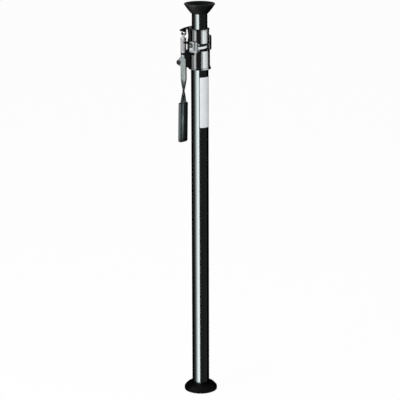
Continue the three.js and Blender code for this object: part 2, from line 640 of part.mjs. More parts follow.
const linkPinTo = ROD_EYE_THICKNESS / 2 + FIT + CHEEK_THICKNESS;
const linkPin = () => headedPin(LINK_PIN_RADIUS, LINK_HEAD_RADIUS, LINK_HEAD, -ROD_EYE_THICKNESS / 2 - FIT,
  linkPinTo + LINK_TAIL);
const linkClip = () => tubeY(LINK_PIN_RADIUS + FIT, LINK_HEAD_RADIUS + FIT, linkPinTo + FIT,
  linkPinTo + FIT + CLIP_THICKNESS);

// Upper collar: a sleeve with a web, an arched arm over the push rod, a guide tongue, a key that keeps it
// from turning, and a hook behind the tubes that the lock plate tips in.
function upperCollar() {
  const side = -upperCollarRadius;
  const lip = upperCollarRadius + UPPER_LIP_REACH;
  const body = latheZ([[carriageBore, carriageBottom], [upperCollarRadius, carriageBottom],
    [upperCollarRadius, carriageTop - UPPER_LIP_HEIGHT - UPPER_LIP_REACH],
    [lip, carriageTop - UPPER_LIP_HEIGHT], [lip, carriageTop - COLLAR_LIP], [lip - COLLAR_LIP, carriageTop],
    [carriageBore, carriageTop]]);
  const inside = side + UPPER_COLLAR_WALL / 2;
  const waist = side - WEB_REACH;
  const clear = -(lowerCollarRadius + PLATE_SIDE_GAP);
  const tongueTop = carriageBottom - TONGUE_DROP;
  const tongueBottom = tongueTop - TONGUE_THICKNESS;
  const armUnder = rodEyeZ + ROD_EYE_RADIUS + FIT;
  const armTop = carriageTop + ARM_ROOT_RISE;
  const archTop = armTop - ARM_ROOT_THICKNESS;
  const web = alongY(outline([
    [inside, carriageBottom], [clear, carriageBottom], [clear, tongueBottom],
    [waist - WEB_FLARE, tongueBottom], [waist - WEB_FLARE, tongueTop, TONGUE_THICKNESS / 2],
    [waist, (tongueTop + archTop) / 2, ROD_EYE_RADIUS],
    [waist - WEB_FLARE, archTop], [waist - WEB_FLARE, archTop + WEB_FLARE / 2],
    [side, carriageTop], [inside, carriageTop],
  ]), -WEB_HALF_THICKNESS, WEB_HALF_THICKNESS);
  const armRoot = side - ARM_ROOT_REACH;
  const armEnd = rodX - ARM_OVERHANG;
  const crest = armRoot + (armEnd - armRoot) * ARM_CREST_SHARE;
  const crestZ = armTop + (armUnder + ARM_END_THICKNESS - armTop) * ARM_CREST_SHARE + ARM_CREST_BEND;
  const arm = alongY(outline([
    [side + COLLAR_LIP, carriageTop - UPPER_LIP_HEIGHT], [side + COLLAR_LIP, carriageTop, COLLAR_LIP],
    [armRoot, armTop, ARM_ROOT_REACH / 2],
    [crest, crestZ, ARM_OVERHANG], [armEnd, armUnder + ARM_END_THICKNESS, ARM_END_THICKNESS / 2],
    [armEnd, armUnder], [rodX, armUnder, ARM_END_THICKNESS / 2],
    [rodX + ROD_EYE_RADIUS, armUnder + ARM_END_THICKNESS], [waist - WEB_FLARE, archTop],
    [side - WEB_FLARE, carriageTop - ARM_ROOT_THICKNESS],
  ]), -ARM_HALF_WIDTH, linkPinTo);
  const cheekInner = linkPinTo - CHEEK_THICKNESS;
  const cheek = alongY(outline([
    [rodX - CHEEK_MARGIN, armUnder + ARM_END_THICKNESS / 2],
    [rodX - CHEEK_MARGIN, rodEyeZ - CHEEK_MARGIN, CHEEK_MARGIN],
    [rodX + CHEEK_MARGIN, rodEyeZ - CHEEK_MARGIN, CHEEK_MARGIN],
    [rodX + CHEEK_MARGIN, armUnder + ARM_END_THICKNESS],
  ]), cheekInner, linkPinTo);
  const tongue = block(rodX + BARREL_RADIUS * (1 - TONGUE_REACH_SHARE), waist,
    -TONGUE_HALF_WIDTH, TONGUE_HALF_WIDTH, tongueBottom, tongueTop);
  const keyInner = -(lowerCollarRadius + KEY_REACH);
  const key = block(keyInner - KEY_DEPTH, keyInner, -KEY_HALF_THICKNESS, KEY_HALF_THICKNESS,
    carriageBottom - KEY_LENGTH, tongueBottom + OVERRUN);
  const hookInner = lowerCollarRadius + PLATE_SIDE_GAP;
  const heel = fulcrumY + PLATE_HEEL + END_GAP;
  const hookOuter = heel + HOOK_WALL;
  const jawTop = fulcrumZ - plateHalf - (fulcrumY - hookInner) * Math.tan(PLATE_TILT) - END_GAP / 2;
  const hook = alongX(outline([
    [-inside, carriageBottom], [-inside, carriageBottom + HOOK_CROWN + HOOK_WALL],
    [hookOuter, carriageBottom + HOOK_CROWN, HOOK_ROUND],
    [hookOuter, jawTop - HOOK_JAW, HOOK_WALL], [hookInner, jawTop - HOOK_JAW], [hookInner, jawTop],
    [heel, jawTop], [heel, carriageBottom - FIT], [hookInner, carriageBottom - FIT],
    [hookInner, carriageBottom],
  ]), -HOOK_HALF_WIDTH, HOOK_HALF_WIDTH);
  const barrelRoom = rod(BARREL_RADIUS + FIT, tongueBottom - OVERRUN, tongueTop + OVERRUN, TUBE_SIDES / 2)
    .translate(rodX, 0, 0);
  const bore = rod(carriageBore, carriageBottom - OVERRUN, carriageTop + OVERRUN, TUBE_SIDES);
  const pinHole = rodY(LINK_PIN_RADIUS + FIT, cheekInner - OVERRUN, linkPinTo + OVERRUN)
    .translate(rodX, 0, rodEyeZ);
  return cut(joined(body, web, arm, cheek, tongue, key, hook), bore, barrelRoom, pinHole);
}

function carriageBush(bottom, top) {
  return tube(bushBore, bushRadius, bottom, top);
}

// Lock plate, modelled level about the line on which it tips.
function lockPlate() {
  const disc = rod(plateRadius, -plateHalf, plateHalf, TUBE_SIDES).translate(0, -plateArm, 0);
  const tongue = block(-PLATE_TONGUE_HALF, PLATE_TONGUE_HALF, -plateArm + plateHoleRadius, PLATE_HEEL,
    -plateHalf, plateHalf);
  const tailEnd = (triggerOuter - PLATE_TAIL_PROUD - fulcrumY) / Math.cos(PLATE_TILT);
  const tail = block(-PLATE_TAIL_HALF, PLATE_TAIL_HALF, tailEnd, -plateArm - plateHoleRadius,
    -plateHalf, plateHalf);
  const hole = rod(plateHoleRadius, -PLATE_THICKNESS, PLATE_THICKNESS, TUBE_SIDES)
    .translate(0, -plateArm, 0);
  return cut(joined(disc, tongue, tail), hole);
}

// Trigger: an upright tab on the plate's tail, with a slit and an oblong finger pad round a hole.
function releaseTrigger() {
  const [bottom, top] = [tailZ - TRIGGER_BELOW, tailZ + TRIGGER_ABOVE];
  const tab = alongY(outline([
    [-TRIGGER_LEFT, bottom, TRIGGER_THICKNESS], [-TRIGGER_LEFT, top, TRIGGER_ROUND],
    [TRIGGER_RIGHT, top, TRIGGER_THICKNESS / 2], [TRIGGER_RIGHT, bottom, TRIGGER_THICKNESS / 2],
  ]), triggerOuter, triggerInner);
  const padLeft = -TRIGGER_LEFT - FINGER_PAD_OVERHANG;
  const padRight = padLeft + FINGER_PAD_WIDTH;
  const padRound = FINGER_PAD_WIDTH / 2;
  const pad = alongY(outline([
    [padLeft, top - FINGER_PAD_HEIGHT, padRound], [padLeft, top, padRound],
    [padRight, top, padRound], [padRight, top - FINGER_PAD_HEIGHT, padRound],
  ]), triggerOuter - FINGER_PAD_PROUD, triggerInner);
  const hole = rodY(FINGER_HOLE_RADIUS, triggerOuter - FINGER_PAD_PROUD - OVERRUN, triggerInner + OVERRUN)
    .translate(padLeft + padRound, 0, top - FINGER_PAD_HEIGHT + padRound);
  const slitRight = TRIGGER_RIGHT - SLIT_FROM_RIGHT;
  const slit = block(slitRight - SLIT_WIDTH, slitRight, triggerOuter - OVERRUN, triggerInner + OVERRUN,
    top - (top - bottom) * SLIT_SHARE, top + OVERRUN);
  const windowHalf = plateHalf / Math.cos(PLATE_TILT) + TRIGGER_THICKNESS * Math.tan(PLATE_TILT) / 2 + FIT;
  const window = block(-PLATE_TAIL_HALF - FIT, PLATE_TAIL_HALF + FIT,
    triggerOuter - OVERRUN, triggerInner + OVERRUN, tailZ - windowHalf, tailZ + windowHalf);
  return cut(joined(tab, pad), hole, slit, window);
}

// Spring: a flat ring under the upper collar, bent down at the front to press on the plate.
function plateSpring() {
  const inner = carriageBore - FIT;
  const outer = inner + SPRING_WIDTH;
  const high = carriageBottom - FIT;
  const low = fulcrumZ - (fulcrumY + outer) * Math.tan(PLATE_TILT) + plateHalf / Math.cos(PLATE_TILT)
    + FIT + SPRING_THICKNESS;
  const rings = Array.from({ length: TUBE_SIDES }, (_, i) => {
    const angle = 2 * Math.PI * i / TUBE_SIDES;
    const share = Math.max(0, -Math.sin(angle)) ** 2;
    const top = high + (low - high) * share;
    return [[inner, top], [outer, top], [outer, top - SPRING_THICKNESS], [inner, top - SPRING_THICKNESS]]
      .map(([radius, z]) => [radius * Math.cos(angle), radius * Math.sin(angle), z]);
  });
  return skin(rings, true);
}

function sliderSleeve() {
  const [inner, outer] = [innerTubeRadius + SLEEVE_FIT, outerTubeBore - SLEEVE_FIT];
  const floor = innerTubeBottom - FIT;
  return latheZ([[innerTubeBore, floor - SLEEVE_FLOOR], [outer, floor - SLEEVE_FLOOR],
    [outer, floor + SLEEVE_LENGTH], [inner, floor + SLEEVE_LENGTH], [inner, floor], [innerTubeBore, floor]]);
}

// Ceiling cup: a rubber cone, hollow on top, with a socket for the tube.
function ceilingCup() {
  const socket = innerTubeRadius + FIT;
  const neck = socket + CUP_NECK_WALL;
  const side = new THREE.QuadraticBezierCurve(
    new THREE.Vector2(neck, cupBottom),
    new THREE.Vector2((neck + CUP_RADIUS) / 2 + CUP_BULGE, (cupBottom + cupTop) / 2 - CUP_BULGE),
    new THREE.Vector2(CUP_RADIUS, cupTop - CUP_EDGE),
  ).getPoints(CORNER_STEPS).map(({ x, y }) => [x, y]);
  const rim = CUP_RADIUS - CUP_EDGE - CUP_LIP;
  const floor = cupFloor + CUP_FLOOR;
  const bowl = new THREE.QuadraticBezierCurve(
    new THREE.Vector2(rim, cupTop),
    new THREE.Vector2(rim - (cupTop - floor), floor),
    new THREE.Vector2(CUP_FLOOR_RADIUS, floor),
  ).getPoints(2 * CORNER_STEPS).map(({ x, y }) => [x, y]);
  return latheZ([[socket, cupBottom], ...side, [CUP_RADIUS - CUP_EDGE, cupTop], ...bowl,
    [CUP_SCREW_RADIUS + FIT, floor], [CUP_SCREW_RADIUS + FIT, cupFloor], [socket, cupFloor]]);
}

const cupSeat = cupFloor + CUP_FLOOR + FIT;
const cupWasher = () => tube(CUP_SCREW_RADIUS + FIT, WASHER_RADIUS, cupSeat, cupSeat + WASHER_THICKNESS,
  TUBE_SIDES / 2);

function cupScrew() {
  const under = cupSeat + WASHER_THICKNESS + FIT;
  const top = under + CUP_SCREW_HEAD;
  const edge = CUP_SCREW_HEAD / 2;
  return latheZ([[0, cupFloor - CUP_SCREW_LENGTH], [CUP_SCREW_RADIUS, cupFloor - CUP_SCREW_LENGTH],
    [CUP_SCREW_RADIUS, under], [CUP_SCREW_HEAD_RADIUS, under], [CUP_SCREW_HEAD_RADIUS, under + edge],
    [CUP_SCREW_HEAD_RADIUS - edge, top], [0, top]], PIN_SIDES);
}

// Standing part
const stand = group([
  piece('floor_foot', floorFoot(), 'rubber'),
  piece('foot_plug', plug(outerTubeBore - SLEEVE_FIT, outerTubeBottom, outerTubeBottom + FOOT_PLUG_HEIGHT),
    'nylon'),
  piece('outer_tube', tube(outerTubeBore, OUTER_TUBE_RADIUS, outerTubeBottom, outerTubeTop), 'anodised'),
  piece('label_plate', labelPlate(), 'label'),
  piece('lower_collar', lowerCollar(), 'casting'),
  piece('mouth_bush', mouthBush(), 'nylon'),
  piece('collar_screw_lower', collarScrew(screwHeights[0]), 'dark'),
  piece('collar_screw_upper', collarScrew(screwHeights[1]), 'dark'),
]);

// Lever, about its pivot
const lever = group([
  piece('pivot_pin', pivotPin(), 'dark'),
  piece('pivot_clip', pivotClip(), 'dark'),
  piece('lever_bar', leverBar(), 'steel'),
  piece('lever_bush', leverBush(), 'nylon'),
  piece('lever_grip', leverGrip(), 'grip'),
], pivotX, 0, pivotZ);

// Push rod, about its own axis
const rodGroup = group([
  piece('link_eye', linkEye(), 'plated'),
  piece('link_barrel', linkBarrel(), 'steel'),
  piece('lock_nut', lockNut(), 'dark'),
  piece('cam_shoe', camShoe(), 'plated'),
], rodX);
const linkGroup = group([
  piece('link_pin', linkPin(), 'dark'),
  piece('link_clip', linkClip(), 'dark'),
], rodX, 0, rodEyeZ);

// Carriage, with the lock plate on the line on which it tips
const bushHeight = UPPER_COLLAR_HEIGHT * CARRIAGE_BUSH_SHARE;
const plateGroup = group([piece('lock_plate', lockPlate(), 'plated')], 0, fulcrumY, fulcrumZ);
plateGroup.rotation.x = PLATE_TILT;
const carriage = group([
  piece('upper_collar', upperCollar(), 'casting'),
  piece('carriage_bush_lower', carriageBush(carriageBottom, carriageBottom + bushHeight), 'nylon'),
  piece('carriage_bush_upper', carriageBush(carriageTop - bushHeight, carriageTop), 'nylon'),
  rodGroup,
  linkGroup,
  piece('plate_spring', plateSpring(), 'dark'),
  plateGroup,
  piece('release_trigger', releaseTrigger(), 'plated'),
]);

// Mast
const mast = group([
  piece('inner_tube', tube(innerTubeBore, innerTubeRadius, innerTubeBottom, innerTubeTop), 'anodised'),
  piece('slider_sleeve', sliderSleeve(), 'nylon'),
  piece('top_plug', plug(innerTubeBore - FIT, innerTubeTop - TOP_PLUG_HEIGHT, innerTubeTop,
    CUP_SCREW_RADIUS + FIT, 0), 'nylon'),
  piece('ceiling_cup', ceilingCup(), 'rubber'),
  piece('cup_washer', cupWasher(), 'plated'),
  piece('cup_screw', cupScrew(), 'dark'),
]);

const pole = group([stand, lever, carriage, mast]);
pole.name = 'tension_pole';

export default pole;
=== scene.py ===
# %% [markdown]
# # A floor to ceiling tension pole
# Two black tubes slide one inside the other and stand pressed between a floor and a ceiling. A lever with a
# cam lifts a carriage on the tubes, a tilted plate under the carriage grips the inner tube, and a trigger
# lets that tube go.
#
# The solids of the pole are packed already, as a frame that stays fixed. Every piece made here sits on that
# frame and rides on one of its bodies. The first cell loads the frame.

# %% Load the frame
import math

import bmesh
import bpy
import numpy as np
from mathutils import Matrix, Vector


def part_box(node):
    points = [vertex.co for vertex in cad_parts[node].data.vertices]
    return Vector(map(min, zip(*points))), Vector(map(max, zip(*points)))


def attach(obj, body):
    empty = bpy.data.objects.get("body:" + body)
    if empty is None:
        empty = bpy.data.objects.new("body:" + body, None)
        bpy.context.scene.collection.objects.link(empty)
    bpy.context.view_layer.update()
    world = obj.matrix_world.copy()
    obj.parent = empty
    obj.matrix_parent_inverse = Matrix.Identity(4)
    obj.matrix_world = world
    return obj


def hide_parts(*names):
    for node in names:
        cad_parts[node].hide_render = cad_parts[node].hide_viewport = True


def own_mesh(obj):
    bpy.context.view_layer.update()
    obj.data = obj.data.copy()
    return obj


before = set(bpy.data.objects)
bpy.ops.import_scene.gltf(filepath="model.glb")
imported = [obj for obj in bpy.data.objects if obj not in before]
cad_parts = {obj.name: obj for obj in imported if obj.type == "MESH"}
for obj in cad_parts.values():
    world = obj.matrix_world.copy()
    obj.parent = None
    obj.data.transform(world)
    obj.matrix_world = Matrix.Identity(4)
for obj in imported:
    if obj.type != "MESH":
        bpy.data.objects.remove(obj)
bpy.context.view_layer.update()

print("nodes in the frame:", len(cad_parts))

# %% [markdown]
# ## The camera first
# The photograph looks a little down on the pole from its front right, with a long lens. A long lens could
# be faked with a narrow crop, but the pole is a metre tall and the two ends show different ellipses, so the
# real distance matters. The distance, height and lens here come from those ellipses and from the pole's
# length. The camera also rolls by a fifth of a degree, as the picture does.

# %% Set the camera
CAMERA_AZIMUTH = math.radians(42)
CAMERA_DISTANCE = 4.33
CAMERA_HEIGHT = 1.733
CAMERA_ROLL = math.radians(0.2)
AIM_HEIGHT, AIM_LEFT = 0.5236, 0.00055
SENSOR_WIDTH, LENS = 36, 155.34
toward_camera = np.array([math.sin(CAMERA_AZIMUTH), -math.cos(CAMERA_AZIMUTH)])
to_the_right = np.array([math.cos(CAMERA_AZIMUTH), math.sin(CAMERA_AZIMUTH)])


def new_object(name, data):
    """An object for some data, linked to the scene."""
    made = bpy.data.objects.new(name, data)
    bpy.context.scene.collection.objects.link(made)
    return made


camera = new_object("camera", bpy.data.cameras.new("camera"))
camera.data.sensor_width = SENSOR_WIDTH
camera.data.lens = LENS
spot = Vector((*(CAMERA_DISTANCE * toward_camera), CAMERA_HEIGHT))
forward = (Vector((*(-AIM_LEFT * to_the_right), AIM_HEIGHT)) - spot).normalized()
right = forward.cross(Vector((0, 0, 1))).normalized()
up = right.cross(forward)
tilted_up = up * math.cos(CAMERA_ROLL) + right * math.sin(CAMERA_ROLL)
tilted_right = right * math.cos(CAMERA_ROLL) - up * math.sin(CAMERA_ROLL)
camera.matrix_world = Matrix((tilted_right, tilted_up, -forward)).transposed().to_4x4()
camera.location = spot
bpy.context.scene.camera = camera
print("camera at", np.round(spot, 3).tolist())

# %% [markdown]
# ## Surfaces from whole arrays
# A turned or drawn part is a simple idea: an outline carried round an axis, or a section carried along a
# line. Blender's own primitives and its Spin tool could make some of them. Working the points out as one
# array keeps every size in view instead, and the same few helpers serve all the pieces. A grid of points
# becomes quads, and points that fall on each other are welded, which closes the seams and the poles.

# %% From arrays to a mesh
MM = 0.001
WELD_DISTANCE = 2e-6
FLAT_ANGLE, CREASE = math.radians(0.4), math.radians(35)


def span(node):
    """Lowest and highest corner of a frame node, in millimetres."""
    low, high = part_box(node)
    return np.array(low) / MM, np.array(high) / MM


def shell(grid, wrap_rows=False, wrap_columns=True, caps=False):
    """Quads over a grid of shape (rows, columns, 3): point (i, j) is joined to (i, j + 1), (i + 1, j + 1) and
    (i + 1, j), and past the last row or column it starts again at the first where the grid wraps."""
    rows, columns = grid.shape[:2]
    i = np.arange(rows if wrap_rows else rows - 1)[:, None]
    j = np.arange(columns if wrap_columns else columns - 1)[None, :]
    i_next, j_next = (i + 1) % rows, (j + 1) % columns
    row, row_next = i * columns, i_next * columns
    quads = np.stack([row + j, row + j_next, row_next + j_next, row_next + j], -1)
    faces = quads.reshape(-1, 4).tolist()
    if caps:
        faces += [list(range(columns)), list(range((rows - 1) * columns, rows * columns))]
    return grid.reshape(-1, 3), faces


def solid(name, *shells, whole_faces=False):
    """One object from closed shells in millimetres, its points welded and its faces turned outwards."""
    mesh = bpy.data.meshes.new(name)
    starts = np.cumsum([0] + [len(points) for points, _ in shells])
    faces = [[int(start) + corner for corner in face]
             for start, (_, rows) in zip(starts, shells) for face in rows]
    mesh.from_pydata((np.concatenate([points for points, _ in shells]) * MM).tolist(), [], faces)
    shape = bmesh.new()
    shape.from_mesh(mesh)
    bmesh.ops.remove_doubles(shape, verts=shape.verts, dist=WELD_DISTANCE)
    if whole_faces:
        bmesh.ops.dissolve_limit(shape, angle_limit=FLAT_ANGLE, verts=shape.verts, edges=shape.edges)
    bmesh.ops.delete(shape, geom=[edge for edge in shape.edges if not edge.link_faces], context="EDGES")
    bmesh.ops.recalc_face_normals(shape, faces=shape.faces)
    shape.to_mesh(mesh)
    shape.free()
    mesh.shade_smooth()
    mesh.set_sharp_from_angle(angle=CREASE)
    return new_object(name, mesh)


def node_shell(node):
    """The triangles of a frame node as a shell, read as whole arrays. The node itself isn't touched."""
    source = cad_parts[node].data
    points = np.empty(len(source.vertices) * 3)
    corners = np.empty(len(source.loops), dtype=np.int64)
    source.vertices.foreach_get("co", points)
    source.loops.foreach_get("vertex_index", corners)
    return points.reshape(-1, 3) / MM, corners.reshape(-1, 3).tolist()


print("outer tube spans", np.round(span("outer_tube"), 1).tolist())

# %% [markdown]
# ## Rounded outlines
# No moulded, cast or turned edge is quite sharp, and the thin line of light along a soft edge is much of
# what makes a part look real. A Bevel modifier can round edges afterwards. For an outline it is cleaner to
# round the corners first: each one becomes an arc that touches both of its edges.

# %% Round an outline and turn it


def rounded(corners, steps=5):
    """Closed outline through rows (x, y, radius). With h half of a corner's angle, the arc touches both edges
    radius / tan h from the corner, at most just under half an edge, and its centre lies on the bisector."""
    rows = np.array([(*corner, 0.0)[:3] for corner in corners], float)
    spots = rows[:, :2]
    before, after = np.roll(spots, 1, 0) - spots, np.roll(spots, -1, 0) - spots
    before_length, after_length = np.linalg.norm(before, axis=1), np.linalg.norm(after, axis=1)
    before, after = before / before_length[:, None], after / after_length[:, None]
    half = np.arccos(np.clip((before * after).sum(1), -1, 1)) / 2
    # A straight corner would have no sweep to divide by, so half of it stops just short of a right angle.
    half = np.minimum(half, np.pi / 2 - 1e-4)
    reach = np.minimum(rows[:, 2] / np.tan(half), 0.49 * np.minimum(before_length, after_length))
    bisector = before + after
    bisector /= np.maximum(np.linalg.norm(bisector, axis=1), 1e-9)[:, None]
    centre = spots + bisector * (reach / np.cos(half))[:, None]
    first, last = spots + before * reach[:, None] - centre, spots + after * reach[:, None] - centre
    sweep = (np.pi - 2 * half)[:, None]
    share = np.linspace(0, 1, steps)[None, :]
    spokes = (np.sin((1 - share) * sweep)[..., None] * first[:, None] + np.sin(share * sweep)[..., None]
              * last[:, None]) / np.sin(sweep)[..., None]
    points = (centre[:, None] + spokes).reshape(-1, 2)
    return points[np.linalg.norm(points - np.roll(points, 1, 0), axis=1) > 1e-5]


def turned(outline, sides=96, centre=(0, 0, 0), along="z"):
    """A closed outline of rows (radius, height) carried round an axis: each point stands radius cos a and
    radius sin a across the axis, and its height along it."""
    angle = np.linspace(0, 2 * np.pi, sides, endpoint=False)
    radius, height = outline[:, 0:1], outline[:, 1:2] + 0 * angle
    across, aside = radius * np.cos(angle), radius * np.sin(angle)
    grid = np.stack([across, aside, height] if along == "z" else [across, height, aside], -1)
    return shell(grid + np.array(centre), wrap_rows=True)


print("points of a rounded square:", len(rounded([(0, 0, 1), (4, 0, 1), (4, 4, 1), (0, 4, 1)])))

# %% [markdown]
# ## Formulas for finishes
# A finish is a small sum: a fine pattern lifts the surface, the same pattern or another one changes the
# gloss. In the node editor such a sum is a row of Math nodes. Here a node's output is wrapped in a small
# class, so that a sum written in Python adds those nodes. All other nodes come from one method that takes
# the node's type, its settings and what goes into its sockets.

# %% A material written as formulas


class Signal:
    """A node's output in a formula. Each sign adds one Math node."""

    def __init__(self, finish, socket):
        self.finish, self.socket = finish, socket

    def combine(self, operation, first, second):
        return self.finish.node("ShaderNodeMath", {"operation": operation}, [first, second])

    def __add__(self, other):
        return self.combine("ADD", self, other)

    def __rsub__(self, other):
        return self.combine("SUBTRACT", other, self)

    def __mul__(self, other):
        return self.combine("MULTIPLY", self, other)

    __radd__, __rmul__ = __add__, __mul__


class Finish:
    """A material with one Principled shader. Even values go to its own sockets, formulas are linked."""

    def __init__(self, name, constants):
        self.material = bpy.data.materials.new(name)
        self.material.use_nodes = True
        self.tree = self.material.node_tree
        self.shader = self.tree.nodes["Principled BSDF"]
        for socket, value in constants.items():
            self.shader.inputs[socket].default_value = value

    def feed(self, socket, value):
        """Links a signal to a socket, or sets the socket to a plain value."""
        if isinstance(value, Signal):
            self.tree.links.new(value.socket, socket)
        else:
            socket.default_value = value

    def node(self, kind, settings=None, inputs=(), output=0):
        """Adds a node. Its settings come first, then the value or link of each socket."""
        made = self.tree.nodes.new(kind)
        for name, value in (settings or {}).items():
            setattr(made, name, value)
        pairs = inputs.items() if isinstance(inputs, dict) else enumerate(inputs)
        for key, value in pairs:
            self.feed(made.inputs[key], value)
        return Signal(self, made.outputs[output])

    def noise(self, stretch, detail=2.0, roughness=0.5):
        """Noise in object coordinates, with the number of waves per metre along x, y and z."""
        place = self.node("ShaderNodeTexCoord", output="Object")
        scaled = self.node("ShaderNodeMapping", inputs={"Vector": place, "Scale": stretch})
        return self.node("ShaderNodeTexNoise", inputs={"Vector": scaled, "Scale": 1.0, "Detail": detail,
                                                       "Roughness": roughness})

    def level(self, signal, low, high):
        """The part of a signal between low and high, stretched to 0 and 1."""
        return self.node("ShaderNodeMapRange", inputs={"Value": signal, "From Min": low, "From Max": high})

    def blend(self, share, first, second):
        """A colour between two: the first where share is 0 and the second where it is 1. A Mix node has
        sockets for each kind of data, and its colours are inputs 6 and 7 and output 2."""
        return self.node("ShaderNodeMix", {"data_type": "RGBA"},
                         {0: share, 6: (*first, 1), 7: (*second, 1)}, output=2)

    def wire(self, colour, roughness, height, depth):
        """Links formulas to the shader. The height lifts the surface by depth, in metres, as a bump."""
        self.feed(self.shader.inputs["Base Color"], colour)
        self.feed(self.shader.inputs["Roughness"], roughness)
        bump = self.node("ShaderNodeBump", inputs={"Distance": depth, "Height": height})
        self.feed(self.shader.inputs["Normal"], bump)


print("formulas ready")

# %% [markdown]
# ## Black tube
# The tubes are drawn aluminium with a dyed, sealed oxide on it. The eye knows it by a deep black with one
# hard stripe of light along the tube, and by faint lines that the drawing die left. A glossy shader with a
# low specular level keeps the black deep, and stretching its highlight along the tube makes the stripe run
# from end to end. A slight tint of the reflection gives the stripe its cool colour. Noise that is stretched
# along the tube gives the die lines, and a slower one the uneven handling gloss.

# %% Finish of the tubes
anodised = Finish("black anodised tube", {"Specular IOR Level": 0.12, "Specular Tint": (0.93, 1, 1, 1),
                                          "Anisotropic": 0.6, "Anisotropic Rotation": 0.25})
die_lines = anodised.noise((700, 700, 3), detail=3)
handling = anodised.noise((25, 25, 9), detail=4)
anodised.wire(
    colour=anodised.blend(anodised.level(handling, 0.35, 0.75),
                          (0.0005, 0.0005, 0.0006), (0.0016, 0.0016, 0.0019)),
    roughness=0.15 + 0.04 * die_lines + 0.04 * handling,
    height=die_lines, depth=0.000004)
print("tube finish has", len(anodised.tree.nodes), "nodes")

# %% [markdown]
# ## Painted casting
# The two collars are cast and painted black. Under a lamp the paint shows a fine, soft ripple like the skin
# of an orange, which two noises of different size give. The round faces are turned before they are painted,
# so they come out glossy, while the lugs, the arm and the hook stay as cast and dull. One material serves
# both: the gloss is a coat, and its weight falls where the distance from the axis is more than the round
# faces' radius.

# %% Finish of the castings
TURNED_WITHIN, CAST_BEYOND = 0.0293, 0.0302
CAST_COAT, TURNED_COAT = 0.006, 0.17
painted = Finish("black painted casting",
                 {"Specular IOR Level": 0.0, "Coat IOR": 1.5, "Coat Roughness": 0.13})
ripple = painted.noise((420, 420, 420), detail=2)
grain = painted.noise((1900, 1900, 1900), detail=1)
cloud = painted.noise((60, 60, 60), detail=3)
place = painted.node("ShaderNodeTexCoord", output="Object")
across = painted.node("ShaderNodeVectorMath", {"operation": "MULTIPLY"}, [place, (1, 1, 0)])
from_axis = painted.node("ShaderNodeVectorMath", {"operation": "LENGTH"}, [across], output="Value")
turned_face = 1.0 - painted.level(from_axis, TURNED_WITHIN, CAST_BEYOND)
painted.feed(painted.shader.inputs["Coat Weight"], CAST_COAT + TURNED_COAT * turned_face)
painted.wire(
    colour=painted.blend(painted.level(cloud, 0.3, 0.8), (0.0012, 0.0012, 0.0014), (0.0035, 0.0035, 0.004)),
    roughness=0.3 + 0.15 * cloud + 0.1 * grain,
    height=ripple + 0.25 * grain, depth=0.00002)

# %% [markdown]
# ## Rubber
# The foot, the cup and the finger pad are moulded black rubber, and the grip is a glossier dark grey one.
# Matt rubber isn't dull all over: where the mould was polished it has a faint sheen, and dust and handling
# leave paler, rougher places. A fine grain as a bump makes it matt at every angle, and a coarse noise moves
# both the colour and the roughness.

# %% Finishes of the rubber pieces
rubber = Finish("moulded black rubber", {"Specular IOR Level": 0.05})
grain = rubber.noise((2600, 2600, 2600), detail=2)
bloom = rubber.noise((45, 45, 45), detail=5, roughness=0.6)
rubber.wire(
    colour=rubber.blend(rubber.level(bloom, 0.4, 0.85), (0.0007, 0.0007, 0.0008), (0.003, 0.0032, 0.0034)),
    roughness=0.4 + 0.2 * bloom,
    height=grain, depth=0.00005)

grip_rubber = Finish("dark grey grip rubber", {"Specular IOR Level": 0.2, "Specular Tint": (0.84, 1, 1, 1)})
grain = grip_rubber.noise((2200, 2200, 2200), detail=2)
handling = grip_rubber.noise((70, 70, 35), detail=4)
grip_rubber.wire(
    colour=grip_rubber.blend(grip_rubber.level(handling, 0.35, 0.75),
                             (0.0015, 0.0017, 0.0018), (0.004, 0.0044, 0.0046)),
    roughness=0.19 + 0.1 * handling,
    height=grain, depth=0.00006)

# %% [markdown]
# ## Steel and plating
# The lever and the barrel of the push rod are plain steel with a dull zinc coat, a little paler on the
# barrel. The steel was brushed before it was coated, so fine lines run along the piece. The rod's eye, the
# clips, the washer and the lock plate are brighter, with a polished nickel look, and the shoe and the
# trigger have a satin one. All of them are metals, so their colour is the colour of their reflection.
# Brushing moves the colour and the bump in fine lines, and the zinc's crystals move the gloss in soft
# patches. The lever's narrow sides have the same finish in a dark grey, which is painted shade. The pins,
# screws, nut and spring are blackened.

# %% Finishes of the bare metal


def brushed(name, dark, light):
    """Dull zinc on brushed steel, between a dark and a light grey by its brushing and its crystals."""
    made = Finish(name, {"Metallic": 1.0})
    brushing = made.noise((900, 900, 12), detail=3)
    crystals = made.noise((160, 160, 110), detail=3, roughness=0.6)
    made.wire(colour=made.blend(made.level(0.6 * brushing + 0.4 * crystals, 0.35, 0.65), dark, light),
              roughness=0.34 + 0.14 * crystals, height=brushing, depth=0.00002)
    return made


def polished(name, dark, light, dullness):
    """Polished plating. A fine polish lifts the surface, and a slow haze moves the colour and the gloss."""
    made = Finish(name, {"Metallic": 1.0})
    polish = made.noise((600, 600, 600), detail=3)
    haze = made.noise((110, 110, 110), detail=3)
    made.wire(colour=made.blend(made.level(haze, 0.35, 0.7), dark, light), roughness=dullness + 0.12 * haze,
              height=polish, depth=0.000012)
    return made


steel = brushed("brushed zinc steel", (0.345, 0.395, 0.39), (0.465, 0.53, 0.52))
barrel_steel = brushed("pale zinc barrel", (0.41, 0.415, 0.43), (0.56, 0.565, 0.58))
plated = polished("bright plated steel", (0.62, 0.64, 0.65), (0.78, 0.80, 0.81), 0.15)
tab_steel = polished("satin trigger steel", (0.34, 0.37, 0.38), (0.44, 0.475, 0.485), 0.24)
# The dark grey copy of the steel is painted shade for the lever's narrow sides.
painted_side_shade = brushed("painted shade on the lever sides", (0.018, 0.02, 0.02), (0.05, 0.055, 0.054))

